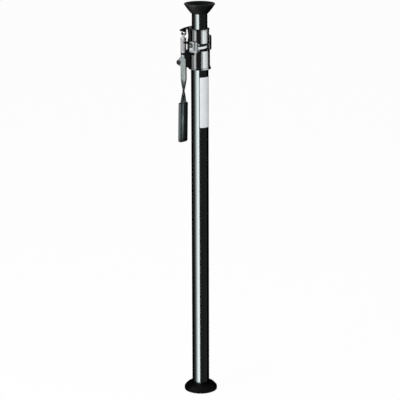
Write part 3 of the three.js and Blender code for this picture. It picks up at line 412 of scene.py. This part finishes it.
blackened = Finish("blackened fastener", {"Metallic": 0.6, "Specular IOR Level": 0.4})
oxide = blackened.noise((500, 500, 500), detail=4)
blackened.wire(
    colour=blackened.blend(blackened.level(oxide, 0.3, 0.8), (0.008, 0.008, 0.009), (0.03, 0.03, 0.032)),
    roughness=0.3 + 0.2 * oxide,
    height=oxide, depth=0.00002)

# %% [markdown]
# ## Nylon and the bare plate
# The bushes, plugs and the sleeve are dark moulded nylon, slightly waxy. The plate on the tube is a bare
# foil in pale silver, with the very fine rolling lines and the slight cloudiness of foil that was pressed
# on by hand.

# %% Finishes of the nylon and the plate
nylon = Finish("dark moulded nylon", {"Specular IOR Level": 0.4})
flow = nylon.noise((240, 240, 90), detail=4)
nylon.wire(
    colour=nylon.blend(nylon.level(flow, 0.3, 0.75), (0.02, 0.02, 0.022), (0.038, 0.038, 0.041)),
    roughness=0.42 + 0.16 * flow,
    height=flow, depth=0.00003)

foil = Finish("pale silver foil", {"Metallic": 0.15, "Specular IOR Level": 0.4})
rolling = foil.noise((60, 60, 2400), detail=2)
press = foil.noise((55, 55, 30), detail=3)
foil.wire(
    colour=foil.blend(foil.level(press, 0.3, 0.75), (0.65, 0.68, 0.71), (0.74, 0.765, 0.785)),
    roughness=0.32 + 0.12 * press,
    height=rolling, depth=0.000008)


def dress(piece, finish, body, slot, *nodes):
    """Gives a piece its finish and the body it rides on, and hides the frame nodes that it stands for.
    The slot is not used.
    """
    piece.data.materials.clear()
    piece.data.materials.append(finish.material)
    if nodes:
        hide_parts(*nodes)
    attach(piece, body)
    print(piece.name, "has", len(piece.data.polygons), "faces")
    return piece


# %% [markdown]
# ## The two tubes
# Each tube is a ring-shaped section turned once round the axis. A Cylinder primitive with a Solidify
# modifier would do, but turning the section lets both ends keep the small broken edge that a tube cutter
# and a file leave. 128 sides keep the tube round in a close view.

# %% Tubes
TUBE_SIDES = 128
OUTER_BORE, INNER_BORE = 21.1, 18.5
TUBE_EDGE = 0.4


def drawn_tube(name, bore, node):
    """A tube's section, a narrow upright rectangle with round corners, turned round the axis."""
    low, high = span(node)
    section = [(bore, low[2], TUBE_EDGE), (high[0], low[2], TUBE_EDGE), (high[0], high[2], TUBE_EDGE),
               (bore, high[2], TUBE_EDGE)]
    return solid(name, turned(rounded(section), TUBE_SIDES))


outer_tube = dress(drawn_tube("tube_outer", OUTER_BORE, "outer_tube"), anodised, "base", "tube", "outer_tube")
inner_tube = dress(drawn_tube("tube_inner", INNER_BORE, "inner_tube"), anodised, "mast", "tube", "inner_tube")

# %% [markdown]
# ## Rubber foot
# The foot is one moulding: a flat sole with a shallow groove round it, an upright rim, a dome that rises to
# a short cuff, and a socket for the tube. Its outline follows the photograph, where the dome reads as a
# single soft black shape. Rounded corners of different sizes in one outline give the soft shoulder and the
# tighter rim without any modifier.

# %% Floor foot
low, high = span("floor_foot")
foot_radius, foot_top = high[0], high[2]
SOLE, TUBE_SOCKET, CUFF = 6.0, 22.8, 24.4
RUBBER_SIDES = 144
foot_outline = rounded([
    (0, 0.0), (33.0, 0.0, 0.4), (33.6, 0.9, 0.4), (35.6, 0.9, 0.4), (36.2, 0.0, 0.4),
    (foot_radius, 0.0, 1.0), (foot_radius, 7.2, 1.4), (foot_radius - 1.4, 9.2, 4.0), (34.6, 17.2, 20.0),
    (CUFF + 2.0, foot_top - 0.7, 5.0), (CUFF, foot_top, 0.5),
    (TUBE_SOCKET, foot_top, 0.4), (TUBE_SOCKET, SOLE), (0, SOLE),
], steps=8)
dress(solid("rubber_foot", turned(foot_outline, RUBBER_SIDES)), rubber, "base", "rubber", "floor_foot")

# %% [markdown]
# ## Ceiling cup
# The cup on top is hollow, like a plunger: a cone that swells a little, a narrow flat rim that presses on
# the ceiling, and a bowl inside that runs down in soft curves to a flat floor with the screw's hole. Under
# that floor is the socket for the mast. Turned from one outline, inside and outside stay one closed wall.

# %% Ceiling cup
low, high = span("ceiling_cup")
cup_radius, cup_bottom, cup_top = high[0], low[2], high[2]
CUP_NECK, MAST_SOCKET, SCREW_HOLE = 21.4, 20.3, 2.7
SOCKET_GAP, FLOOR_THICK = 0.3, 3.2
cup_floor = span("inner_tube")[1][2] + SOCKET_GAP
bowl_floor = cup_floor + FLOOR_THICK
cup_outline = rounded([
    (MAST_SOCKET, cup_bottom, 0.3), (CUP_NECK, cup_bottom, 0.5), (CUP_NECK + 3.2, cup_bottom + 3.2, 6.0),
    (32.4, cup_bottom + 13.0, 30.0), (cup_radius - 1.2, cup_top - 3.6, 8.0), (cup_radius, cup_top - 1.4, 0.7),
    (cup_radius, cup_top, 0.9), (cup_radius - 3.9, cup_top, 0.8), (cup_radius - 5.6, cup_top - 2.2, 3.0),
    (28.6, cup_top - 7.9, 12.0), (20.5, bowl_floor + 2.3, 16.0), (13.0, bowl_floor, 8.0),
    (SCREW_HOLE, bowl_floor, 0.4), (SCREW_HOLE, cup_floor), (MAST_SOCKET, cup_floor),
], steps=8)
ceiling_cup = dress(solid("rubber_cup", turned(cup_outline, RUBBER_SIDES)), rubber, "mast", "rubber",
                    "ceiling_cup")

# %% [markdown]
# ## The plate on the tube
# A thin foil plate wraps a little more than a quarter of the tube. A flat rectangle could be bent with a
# Simple Deform modifier. Here the sheet is written directly on the cylinder: one parameter runs round the
# tube and one along it, and close to each end the rows draw in, which rounds the plate's corners.

# %% Bare plate
low, high = span("label_plate")
PLATE_CORNER, PLATE_GAP, FOIL = 2.5, 0.3, 0.36
PLATE_HALF_TURN = math.radians(49)
plate_radius = span("outer_tube")[1][0] + PLATE_GAP
plate_length = high[2] - low[2]
along = np.concatenate([PLATE_CORNER * (1 - np.cos(np.linspace(0, np.pi / 2, 8))),
                        np.linspace(PLATE_CORNER, plate_length - PLATE_CORNER, 12)[1:-1],
                        plate_length - PLATE_CORNER * (1 - np.cos(np.linspace(np.pi / 2, 0, 8)))])
to_end = np.minimum(np.minimum(along, plate_length - along), PLATE_CORNER)
draw_in = PLATE_CORNER - np.sqrt(np.maximum(PLATE_CORNER ** 2 - (PLATE_CORNER - to_end) ** 2, 0))
half_turn = (PLATE_HALF_TURN - draw_in / plate_radius)[:, None]
turn = half_turn * np.linspace(-1, 1, 33)[None, :]


def foil_face(radius):
    """The foil at one radius: x = radius cos turn, y = radius sin turn, z = low end + along."""
    return np.stack([radius * np.cos(turn), radius * np.sin(turn), low[2] + along[:, None] + 0 * turn], -1)


faces_in_and_out = np.concatenate([foil_face(plate_radius), foil_face(plate_radius + FOIL)[:, ::-1]], axis=1)
dress(solid("bare_plate", shell(faces_in_and_out, caps=True)), foil, "base", "label", "label_plate")

# %% [markdown]
# ## Collars
# The two collars are castings with lugs, slots and bores that meet at odd places. Such a shape is quickest
# to trust when it is the frame's own, so a welded copy of each node is used. The frame's triangles are
# loose: they are read as arrays, welded, and flat faces are made whole. A narrow Bevel then breaks the
# edges as fettling and paint do.

# %% Castings
CAST_EDGE = 0.4


def softened(piece, width):
    """Rounds the edges that are sharper than a crease, by a width in millimetres."""
    bevel = piece.modifiers.new("broken edges", "BEVEL")
    bevel.width = width * MM
    bevel.segments = 2
    bevel.limit_method = "ANGLE"
    bevel.angle_limit = CREASE
    bevel.harden_normals = True
    bevel.miter_outer = "MITER_ARC"
    bevel.use_clamp_overlap = True
    return piece


def node_copy(name, node, edge):
    """A welded copy of a frame node, with its sharp edges rounded by a width in millimetres."""
    return softened(solid(name, node_shell(node), whole_faces=True), edge)


lower_collar = dress(node_copy("collar_lower", "lower_collar", CAST_EDGE), painted, "base", "casting",
                     "lower_collar")
upper_collar = dress(node_copy("collar_upper", "upper_collar", CAST_EDGE), painted, "carriage", "casting",
                     "upper_collar")

# %% [markdown]
# ## Lever
# The lever is flat bar: its head is cut to the cam, then the bar is twisted by a quarter turn so that the
# grip lies flat in the hand. Its frame node has the exact cam, so the copy is kept and its edges are
# broken. Its narrow sides are painted a darker grey than the brushed flats, as painted shade. A face belongs
# to the flats where its normal lies along the flats' own normal, which turns from Y to X as the bar twists.

# %% Lever bar
LEVER_EDGE = 0.5
TWIST_TOP, TWIST_LENGTH = 838.6, 61.6
FLAT_LIMIT = 0.6
lever_bar = dress(node_copy("lever_flat_bar", "lever_bar", LEVER_EDGE), steel, "lever", "steel", "lever_bar")
sides = lever_bar.data.polygons
normals, middles = np.empty(len(sides) * 3), np.empty(len(sides) * 3)
sides.foreach_get("normal", normals)
sides.foreach_get("center", middles)
normals, middles = normals.reshape(-1, 3), middles.reshape(-1, 3)
turn = np.pi / 2 * np.clip((TWIST_TOP - middles[:, 2] / MM) / TWIST_LENGTH, 0, 1)
# Painted shade: the narrow sides get the dark grey copy of the steel.
narrow = np.abs(normals[:, 0] * np.sin(turn) + normals[:, 1] * np.cos(turn)) < FLAT_LIMIT
lever_bar.data.materials.append(painted_side_shade.material)
sides.foreach_set("material_index", narrow.astype(np.int32))
print("narrow faces of the lever:", int(narrow.sum()))

# %% [markdown]
# ## Grip
# The grip is a thick rubber sleeve pushed over the flat bar, so it is flat too, with crowned sides and a
# groove along each corner. The section is a squared oval: the cosine and sine of an angle are raised to a
# power below one, which pushes the oval out towards its corners. The grooves are narrow dips in the
# section's size, and the ends shrink along a quarter circle. The bar leans a little, and the sleeve leans
# with it.

# %% Grip
low, high = span("lever_grip")
GRIP_THICK, GRIP_WIDE, SQUARENESS, GRIP_GROOVE = 14.8, 28.6, 3.0, 0.9
GRIP_LEAN = math.tan(math.radians(1.2))
GROOVE_SPREAD, GROOVE_FADE = 0.2, 3
GRIP_MIDDLE, MOUTH_ROUND, END_ROUND = 6.9, 1.5, 4.0
grip_x, grip_top, grip_bottom = high[0] - GRIP_MIDDLE, high[2], low[2]
angle = np.linspace(0, 2 * np.pi, 288, endpoint=False)


def squared(value):
    """A cosine or sine pushed towards the corners: its size to the power 2 / squareness, with its sign."""
    return np.sign(value) * np.abs(value) ** (2 / SQUARENESS)


def grip_ring(inset, height):
    """The grip's section at one height, smaller by an inset all round, with its grooves at the corners."""
    at_corner = np.exp(-(np.cos(2 * angle) / GROOVE_SPREAD) ** 2)
    groove = GRIP_GROOVE * at_corner * max(0.0, 1 - inset / GROOVE_FADE)
    thick, wide = GRIP_THICK / 2 - inset - groove, GRIP_WIDE / 2 - inset - groove
    centre = grip_x - (grip_top - height) * GRIP_LEAN
    return np.stack([centre + thick * squared(np.cos(angle)), wide * squared(np.sin(angle)),
                     np.full_like(angle, height)], -1)


arc = np.linspace(0, np.pi / 2, 7)
mouth = [(MOUTH_ROUND * (1 - np.sin(t)), grip_top - MOUTH_ROUND * (1 - np.cos(t))) for t in arc]
middle = [(0.0, grip_top + (grip_bottom - grip_top) * k / 8) for k in range(1, 8)]
foot_end = [(END_ROUND * (1 - np.cos(t)), grip_bottom + END_ROUND * (1 - np.sin(t))) for t in arc]
rings = np.stack([grip_ring(inset, height) for inset, height in mouth + middle + foot_end])
grip = dress(solid("rubber_grip", shell(rings, caps=True)), grip_rubber, "lever", "grip", "lever_grip")

# %% [markdown]
# ## Push rod
# Between the cam and the carriage's arm stands a short rod: an eye on top, a barrel that sets its length, a
# lock nut, and a shoe that rides on the cam. The barrel has shallow flutes for the fingers, which show as
# faint upright stripes. A ring of points whose radius rises and falls with the angle makes them in one go.

# %% Push rod
ROD_BORE = 3.3
FLUTES, FLUTE_DEPTH = 20, 0.22
low, high = span("link_barrel")
rod_x, barrel_radius = (low[0] + high[0]) / 2, (high[0] - low[0]) / 2
angle = np.linspace(0, 2 * np.pi, 240, endpoint=False)
flute = FLUTE_DEPTH * (1 - np.cos(FLUTES * angle))


def rod_ring(angle, radius, height):
    """Points round the push rod's axis at one height, with one radius or one for each angle."""
    return np.stack([rod_x + radius * np.cos(angle), radius * np.sin(angle), np.full_like(angle, height)], -1)


# Each level of an end is its inset, its distance from the end and its share of the flutes' depth.
end_levels = [(barrel_radius - ROD_BORE, 0, 0), (0.9, 0, 0), (0.3, 0.3, 0), (0, 0.9, 0), (0, 3.0, 0),
              (0.1, 3.6, 0.6), (0, 4.4, 1)]
levels = [(inset, low[2] + rise, share) for inset, rise, share in end_levels]
levels += [(inset, high[2] - rise, share) for inset, rise, share in reversed(end_levels)]
rings = np.stack([rod_ring(angle, barrel_radius - inset - share * flute, height)
                  for inset, height, share in levels])
dress(solid("rod_barrel", shell(rings, wrap_rows=True)), barrel_steel, "carriage", "steel", "link_barrel")

# %% [markdown]
# ## Ends of the push rod
# The eye is a thick ring turned about the pin's axis, with a round shank below it. The shoe is a flat round
# foot with a broken upper edge. The nut is a hexagon whose corners are cut back by a cone, so its radius is
# the smaller of the hexagon's and the cone's.

# %% Eye, shoe and nut
SMALL_SIDES, SHANK_SIDES = 72, 48
EYE_BORE, SHANK = 2.7, 3.0
low, high = span("link_eye")
eye_radius = (high[0] - low[0]) / 2
eye_z = high[2] - eye_radius
shank_top = eye_z - 4.0
eye_ring = rounded([(EYE_BORE, low[1], 0.5), (eye_radius, low[1], 1.2),
                    (eye_radius, high[1], 1.2), (EYE_BORE, high[1], 0.5)])
shank = rounded([(0, low[2]), (SHANK, low[2], 0.4), (SHANK, shank_top), (0, shank_top)])
rod_eye = solid("rod_eye", turned(eye_ring, SMALL_SIDES, (rod_x, 0, eye_z), "y"),
                turned(shank, SHANK_SIDES, (rod_x, 0, 0)))
dress(rod_eye, plated, "carriage", "plated", "link_eye")

low, high = span("cam_shoe")
shoe_radius = (high[0] - low[0]) / 2
shoe_top = span("lock_nut")[0][2] - 0.3
shoe_outline = rounded([(0, low[2]), (shoe_radius, low[2], 0.5), (shoe_radius, shoe_top, 1.4),
                        (SHANK, shoe_top, 0.3), (SHANK, high[2], 0.3), (0, high[2])])
dress(solid("rod_shoe", turned(shoe_outline, SMALL_SIDES, (rod_x, 0, 0))), tab_steel, "carriage", "plated",
      "cam_shoe")

low, high = span("lock_nut")
angle = np.linspace(0, 2 * np.pi, 144, endpoint=False)
half_nut = (high[1] - low[1]) / 2
hexagon = half_nut / np.cos((angle % (np.pi / 3)) - np.pi / 6)
nut_levels = ((ROD_BORE, low[2]), (half_nut - 0.2, low[2]), (half_nut + 0.9, low[2] + 0.7),
              (half_nut + 0.9, high[2] - 0.7), (half_nut - 0.2, high[2]), (ROD_BORE, high[2]))
rings = np.stack([rod_ring(angle, np.minimum(hexagon, cone), height) for cone, height in nut_levels])
dress(solid("rod_lock_nut", shell(rings, wrap_rows=True)), blackened, "carriage", "fastener", "lock_nut")

# %% [markdown]
# ## Pins and clips
# Two headed pins hold the lever and the push rod. Each is turned: a domed head in front, a shank, and a
# groove near the end that a spring clip snaps into. The clip is a ring with a gap, so its section is
# carried round only part of a turn and capped.

# %% Pins and clips


def headed_pin(name, node, clip_node, radius, head_length):
    """A domed head on the -Y side, a shank and a clip groove, turned about the pin's own axis along Y."""
    low, high = span(node)
    head = (high[0] - low[0]) / 2
    centre = ((low[0] + high[0]) / 2, 0, (low[2] + high[2]) / 2)
    clip_low, clip_high = span(clip_node)
    under = low[1] + head_length
    outline = rounded([
        (0, low[1]), (head * 0.55, low[1], head * 0.4), (head, low[1] + head_length * 0.62, 0.7),
        (head, under, 0.3), (radius, under), (radius, clip_low[1]), (radius - 0.5, clip_low[1]),
        (radius - 0.5, clip_high[1]), (radius, clip_high[1]), (radius, high[1], 0.6), (0, high[1])], steps=6)
    return solid(name, turned(outline, SMALL_SIDES, centre, "y"))


def spring_clip(name, node, bore):
    """A flat ring with a gap: its square section is carried over 300 degrees and capped at both ends."""
    low, high = span(node)
    radius = (high[0] - low[0]) / 2
    section = rounded([(bore, low[1], 0.2), (radius, low[1], 0.3),
                       (radius, high[1], 0.3), (bore, high[1], 0.2)], steps=3)
    turn = np.radians(np.linspace(-60, 240, 49))[:, None]
    centre_x, centre_z = (low[0] + high[0]) / 2, (low[2] + high[2]) / 2
    grid = np.stack([centre_x + section[:, 0] * np.cos(turn), section[:, 1] + 0 * turn,
                     centre_z + section[:, 0] * np.sin(turn)], -1)
    return solid(name, shell(grid, caps=True))


dress(headed_pin("pin_pivot", "pivot_pin", "pivot_clip", 3.0, 3.2), blackened, "base", "fastener",
      "pivot_pin")
dress(headed_pin("pin_link", "link_pin", "link_clip", 2.4, 1.6), blackened, "carriage", "fastener",
      "link_pin")
dress(spring_clip("clip_pivot", "pivot_clip", 2.6), plated, "base", "fastener", "pivot_clip")
dress(spring_clip("clip_link", "link_clip", 2.0), plated, "carriage", "fastener", "link_clip")

# %% [markdown]
# ## Socket screws
# The collar is held by two screws at the back, and the cup by one in its bowl. A screw head with a hexagon
# socket is a turned shape except for the socket, whose radius depends on the angle. So the rings start as
# circles outside and turn into hexagons where the socket begins.

# %% Screws


def socket_screw(name, node, along, shank, socket, head_radius, head_length):
    """Rings from the shank's end up over the head and down into the hexagon socket, closed at both poles."""
    low, high = span(node)
    end, head_high = (low[1], high[1]) if along == "y" else (low[2], high[2])
    head_low = head_high - head_length
    angle = np.linspace(0, 2 * np.pi, SMALL_SIDES, endpoint=False)
    hexagon = socket / np.cos((angle % (np.pi / 3)) - np.pi / 6)
    rings = [(0, end), (shank - 0.4, end), (shank, end + 0.4), (shank, head_low), (head_radius, head_low),
             (head_radius, head_high - 0.7), (head_radius - 0.2, head_high - 0.2),
             (head_radius - 0.7, head_high), (hexagon + 0.15, head_high), (hexagon, head_high - 0.15),
             (hexagon, head_high - 1.4), (0, head_high - 1.6)]
    radius = np.stack([ring + 0 * angle for ring, _ in rings])
    height = np.array([level for _, level in rings])[:, None] + 0 * angle
    across, aside = radius * np.cos(angle), radius * np.sin(angle)
    if along == "y":
        grid = np.stack([across + (low[0] + high[0]) / 2, height, aside + (low[2] + high[2]) / 2], -1)
    else:
        grid = np.stack([across, aside, height], -1)
    return solid(name, shell(grid))


for which in ("lower", "upper"):
    node = f"collar_screw_{which}"
    screw = socket_screw(f"screw_collar_{which}", node, "y", 2.0, 1.5, 3.6, 2.0)
    dress(screw, blackened, "base", "fastener", node)
screw = socket_screw("screw_cup", "cup_screw", "z", 2.4, 2.0, 5.0, 2.6)
dress(screw, blackened, "mast", "fastener", "cup_screw")
low, high = span("cup_washer")
washer = rounded([(SCREW_HOLE, low[2], 0.2), (high[0], low[2], 0.3),
                  (high[0], high[2], 0.3), (SCREW_HOLE, high[2], 0.2)], steps=3)
dress(solid("washer_cup", turned(washer)), plated, "mast", "plated", "cup_washer")

# %% [markdown]
# ## Lock plate, trigger and spring
# The plate is thick plated steel with a tongue behind and a tail in front, a welded copy of its frame node
# with broken edges. The trigger's tab hangs on the tail. It is flat sheet with a slit that is open at the
# top, so one outline that runs down into the slit and up again gives it. A dark strip in the slit, a little
# below the tab's faces, is painted shade for the slit's shaded walls. A black pad with a finger hole sits on
# its left part: the pad's outline is a pill shape, and its rings go in over a soft edge and through the
# round hole. The spring is a flat ring that dips in front.

# %% Lock parts
LOCK_EDGE = 0.4
dress(node_copy("plate_lock", "lock_plate", LOCK_EDGE), plated, "lock", "plated", "lock_plate")

low, high = span("release_trigger")
TAB_LEFT, TAB_THICK, SLIT_LEFT, SLIT_RIGHT = -8.3, 3.0, 8.4, 11.3
SLIT_RISE, SLIT_SHADE_DROP = 5.8, 0.4
slit_floor, slit_shade_top = low[2] + SLIT_RISE, high[2] - SLIT_SHADE_DROP
tab_outline = rounded([(TAB_LEFT, low[2], 2.5), (high[0], low[2], 1.5), (high[0], high[2], 1.5),
                       (SLIT_RIGHT, high[2], 0.6), (SLIT_RIGHT, slit_floor, 1.2),
                       (SLIT_LEFT, slit_floor, 1.2), (SLIT_LEFT, high[2], 0.6), (TAB_LEFT, high[2], 6.0)],
                      steps=10)
slit_shade_outline = np.array([(SLIT_LEFT, slit_floor), (SLIT_RIGHT, slit_floor), (SLIT_RIGHT, slit_shade_top),
                          (SLIT_LEFT, slit_shade_top)])


def sheet(outline, front, back):
    """A flat piece: an outline in X and Z at two places along Y, closed at both."""
    rings = [np.column_stack([outline[:, 0], np.full(len(outline), place), outline[:, 1]])
             for place in (front, back)]
    return shell(np.stack(rings), caps=True)


tab = softened(solid("trigger_tab", sheet(tab_outline, high[1] - TAB_THICK, high[1])), LOCK_EDGE)
dress(tab, tab_steel, "lock", "plated", "release_trigger")
# The dark nylon strip in the slit is painted shade for the slit's shaded walls.
slit_shade = solid("painted_slit_shade", sheet(slit_shade_outline, high[1] - (TAB_THICK - 0.5), high[1] - 0.6))
dress(slit_shade, nylon, "lock", "nylon", "release_trigger")

PAD_WIDE, PAD_TALL, PAD_DROP, FINGER_HOLE = 12.9, 14.4, 10.4, 2.5
PAD_SINK = 0.3
pad_round = PAD_WIDE / 2
stretch = (PAD_TALL - PAD_WIDE) / 2
pad_x, pad_z = low[0] + pad_round, high[2] - PAD_DROP
pad_back = high[1] - low[1] - TAB_THICK + PAD_SINK
angle = np.linspace(0, 2 * np.pi, 96, endpoint=False)


def pad_ring(radius, depth, apart=0):
    """A circle at one depth. Its upper and lower halves stand apart where it is the pill outline."""
    height = pad_z + radius * np.sin(angle) + apart * np.sign(np.round(np.sin(angle), 6))
    return np.stack([pad_x + radius * np.cos(angle), np.full_like(angle, low[1] + depth), height], -1)


pad_levels = ((0.3, pad_back), (0, pad_back - 0.3), (0, 0.8), (0.25, 0.3), (0.9, 0))
hole_levels = ((0.7, 0), (0.1, 0.35), (0, 1.1), (0, pad_back))
pad_rings = [pad_ring(pad_round - inset, depth, stretch) for inset, depth in pad_levels]
pad_rings += [pad_ring(FINGER_HOLE + flare, depth) for flare, depth in hole_levels]
pad = dress(solid("finger_pad", shell(np.stack(pad_rings), wrap_rows=True)), rubber, "lock", "rubber",
            "release_trigger")

low, high = span("plate_spring")
SPRING_WIDTH, SPRING_THICK = 1.9, 0.6
angle = np.linspace(0, 2 * np.pi, 144, endpoint=False)[:, None]
dip = (high[2] - low[2] - SPRING_THICK) * np.maximum(0, -np.sin(angle)) ** 2
section = np.array([(0, 0), (1, 0), (1, -1), (0, -1)])
radius = high[0] - SPRING_WIDTH + SPRING_WIDTH * section[:, 0]
spring_grid = np.stack([radius * np.cos(angle), radius * np.sin(angle),
                        high[2] - dip + SPRING_THICK * section[:, 1]], -1)
spring = dress(solid("spring_ring", shell(spring_grid, wrap_rows=True)), blackened, "carriage", "fastener",
               "plate_spring")
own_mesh(spring)

# %% [markdown]
# ## Pieces that stay as they are
# The plugs, bushes and the sleeve are plain turned nylon inside the tubes and collars, and the frame's
# solids are already right for them. They only get their finish, by putting it in the node's own material
# slot.

# %% Finish of the hidden pieces
HIDDEN = ("foot_plug", "mouth_bush", "lever_bush", "carriage_bush_lower", "carriage_bush_upper",
          "slider_sleeve", "top_plug")
for node in HIDDEN:
    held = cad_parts[node]
    held.data.materials.clear()
    held.data.materials.append(nylon.material)
print("nylon pieces done")

# %% [markdown]
# ## Floor and surroundings
# The photograph stands on pure white. Pouring light on a white floor would burn out the pale parts, so the
# white is given by a Light Path test: the camera, and what is seen by reflection, find a strength of one,
# and the rest of the light stays modest. A share of ordinary white is mixed in on the floor, which keeps a
# soft shadow. Gloss looks through the floor into the white world, so that the lamps for the tubes can reach
# below the floor and their stripe runs down to the foot.

# %% Floor and world
AMBIENT, GLOW_SHARE = 0.6, 0.95
FLOOR_REACH, FLOOR_DROP = 12.0, 0.0002


def by_ray(tree, seen, unseen):
    """One value for camera, glossy and transmission rays and another for the rest."""
    path = tree.nodes.new("ShaderNodeLightPath")
    total = path.outputs["Is Camera Ray"]
    for name in ("Is Glossy Ray", "Is Transmission Ray"):
        larger = tree.nodes.new("ShaderNodeMath")
        larger.operation = "MAXIMUM"
        tree.links.new(total, larger.inputs[0])
        tree.links.new(path.outputs[name], larger.inputs[1])
        total = larger.outputs[0]
    chosen = tree.nodes.new("ShaderNodeMath")
    chosen.operation = "MULTIPLY_ADD"
    tree.links.new(total, chosen.inputs[0])
    chosen.inputs[1].default_value = seen - unseen
    chosen.inputs[2].default_value = unseen
    return chosen.outputs[0]


def prop(name, points, faces, material_name):
    """A surface beside the pole, and the nodes of its material."""
    mesh = bpy.data.meshes.new(name)
    mesh.from_pydata(points.tolist(), [], faces)
    material = bpy.data.materials.new(material_name)
    material.use_nodes = True
    mesh.materials.append(material)
    return new_object(name, mesh), material.node_tree


world = bpy.data.worlds.new("white studio")
world.use_nodes = True
background = world.node_tree.nodes["Background"]
background.inputs["Color"].default_value = (1, 1, 1, 1)
world.node_tree.links.new(by_ray(world.node_tree, 1, AMBIENT), background.inputs["Strength"])
bpy.context.scene.world = world

ground = np.array([[-1, -1, 0], [1, -1, 0], [1, 1, 0], [-1, 1, 0]]) * FLOOR_REACH
floor, tree = prop("floor", ground + [0, 0, -FLOOR_DROP], [[0, 1, 2, 3]], "white floor")
tree.nodes.clear()
paint = tree.nodes.new("ShaderNodeBsdfDiffuse")
paint.inputs["Color"].default_value = (0.86, 0.86, 0.86, 1)
glow = tree.nodes.new("ShaderNodeEmission")
mix = tree.nodes.new("ShaderNodeMixShader")
tree.links.new(by_ray(tree, GLOW_SHARE, 0), mix.inputs[0])
tree.links.new(paint.outputs[0], mix.inputs[1])
tree.links.new(glow.outputs[0], mix.inputs[2])
tree.links.new(mix.outputs[0], tree.nodes.new("ShaderNodeOutputMaterial").inputs[0])
floor.visible_glossy = floor.visible_shadow = False
print("floor and world ready")

# %% [markdown]
# ## A dark card behind
# White all round would also whiten the edges of black tubes, where even dark gloss mirrors what is behind
# it. Photographers stand a black card behind such a piece, just out of the picture. Here it is a curved
# sheet that only glossy rays find, so it darkens the edges and leaves the white picture and the soft light
# alone.

# %% Dark card
CARD_RADIUS, CARD_FOOT, CARD_TOP = 0.3, -0.3, 1.05
CARD_FROM, CARD_TO = 92, 262
bend = np.radians(np.linspace(CARD_FROM, CARD_TO, 35))
flat = np.cos(bend)[:, None] * toward_camera + np.sin(bend)[:, None] * to_the_right
edge = [np.column_stack([flat * CARD_RADIUS, np.full(len(bend), height)]) for height in (CARD_FOOT, CARD_TOP)]
card_points, card_faces = shell(np.stack(edge), wrap_columns=False)
card, tree = prop("dark_card", card_points, card_faces, "black card")
card_shader = tree.nodes["Principled BSDF"]
card_shader.inputs["Base Color"].default_value = (0.004, 0.004, 0.004, 1)
card_shader.inputs["Specular IOR Level"].default_value = 0
card.visible_camera = card.visible_diffuse = card.visible_shadow = False

# %% [markdown]
# ## Lamps
# A large soft lamp to the left of the camera and a weaker one to the right light the colours. Black gloss
# needs something else: it shows only what it reflects. Studios stand tall strip lamps beside such a piece
# and shade them from the rest. Here the strips light gloss only, and each is linked to the dark pieces it
# is meant for. A round tube mirrors a lamp at twice the angle of its own face, so the places of the strips
# follow from the places of the stripes in the photograph. Two more strips stand straight behind the pole
# and give its back a stripe. The one for the collars ends low, or their flat tops would mirror it to the
# camera. The cup has a low lamp for the sheen under its rim and one beside it, which lights the finger pad
# too.

# %% Lamps


def lamp(name, angle, distance, height, size, radiance, aim_height, gloss_only_for=()):
    """A rectangular lamp at an angle to the right of the camera, as seen from the pole, turned to the axis.
    Its power is radiance times pi times its area."""
    data = bpy.data.lights.new(name, "AREA")
    data.shape, data.size, data.size_y = "RECTANGLE", size[0], size[1]
    data.energy = radiance * math.pi * size[0] * size[1]
    made = new_object(name, data)
    flat = toward_camera * math.cos(math.radians(angle)) + to_the_right * math.sin(math.radians(angle))
    made.location = (*(flat * distance), height)
    made.rotation_euler = (Vector((0, 0, aim_height)) - made.location).to_track_quat("-Z", "Y").to_euler()
    made.visible_camera = False
    if gloss_only_for:
        data.color = (0.95, 1, 1)
        made.visible_diffuse = False
        lit = bpy.data.collections.new(name + " lights")
        for piece in gloss_only_for:
            lit.objects.link(piece)
        made.light_linking.receiver_collection = made.light_linking.blocker_collection = lit
    return made


def strip(name, first, last, distance, low_end, high_end, radiance, pieces):
    """An upright strip lamp between two angles, 2 distance tan of half the angle between them wide."""
    size = (2 * distance * math.tan(math.radians(abs(last - first) / 2)), high_end - low_end)
    middle = (low_end + high_end) / 2
    lamp(name, (first + last) / 2, distance, middle, size, radiance, middle, pieces)


lamp("key", -52, 2.6, 2.3, (1.4, 1.4), 10, 0.6)
fill = lamp("fill", 62, 3.0, 1.6, (1.6, 1.6), 2.7, 0.5)
fill.visible_glossy = False

tubes = (outer_tube, inner_tube)
collars = (lower_collar, upper_collar)
TUBE_STAND = (0.22, -0.3, 1.15)
# A row is a name, the pieces, (distance, low end, high end), and (first angle, last angle, radiance) a strip.
STRIPS = (
    ("tube strip", tubes, TUBE_STAND,
     (-10.5, -29, 92), (-29, -42, 76), (-42, -55.5, 36), (-55.5, -70, 10)),
    ("collar strip", collars, (0.26, 0.6, 1.1),
     (-40, -64, 62), (-64, -94, 17), (16, 34, 38), (34, 44, 108), (44, 53, 112), (53, 81, 84), (81, 100, 40)),
    ("tube strip behind", tubes, TUBE_STAND, (173, 187, 55)),
    ("collar strip behind", collars, (0.26, 0.6, 0.93), (173, 187, 60)),
    ("grip strip left", (grip,), (0.25, 0.6, 1.05), (-36, -104, 6.5)),
    ("grip strip front", (grip,), (0.25, 0.63, 1.05), (46, 80, 25)),
)
for name, pieces, stand, *spans in STRIPS:
    for first, last, radiance in spans:
        strip(name, first, last, *stand, radiance, pieces)
lamp("cup glow", -98, 0.55, 0.42, (0.3, 0.3), 13, 1.03, (ceiling_cup,))
lamp("cup side light", -52, 0.5, 0.9, (0.25, 0.5), 72, 1.03, (ceiling_cup, pad))

# %% [markdown]
# ## The usual end
# Colours should come out as they were written, so the view transform is Standard.

# %% Finish
bpy.context.scene.view_settings.view_transform = "Standard"
bpy.context.view_layer.update()
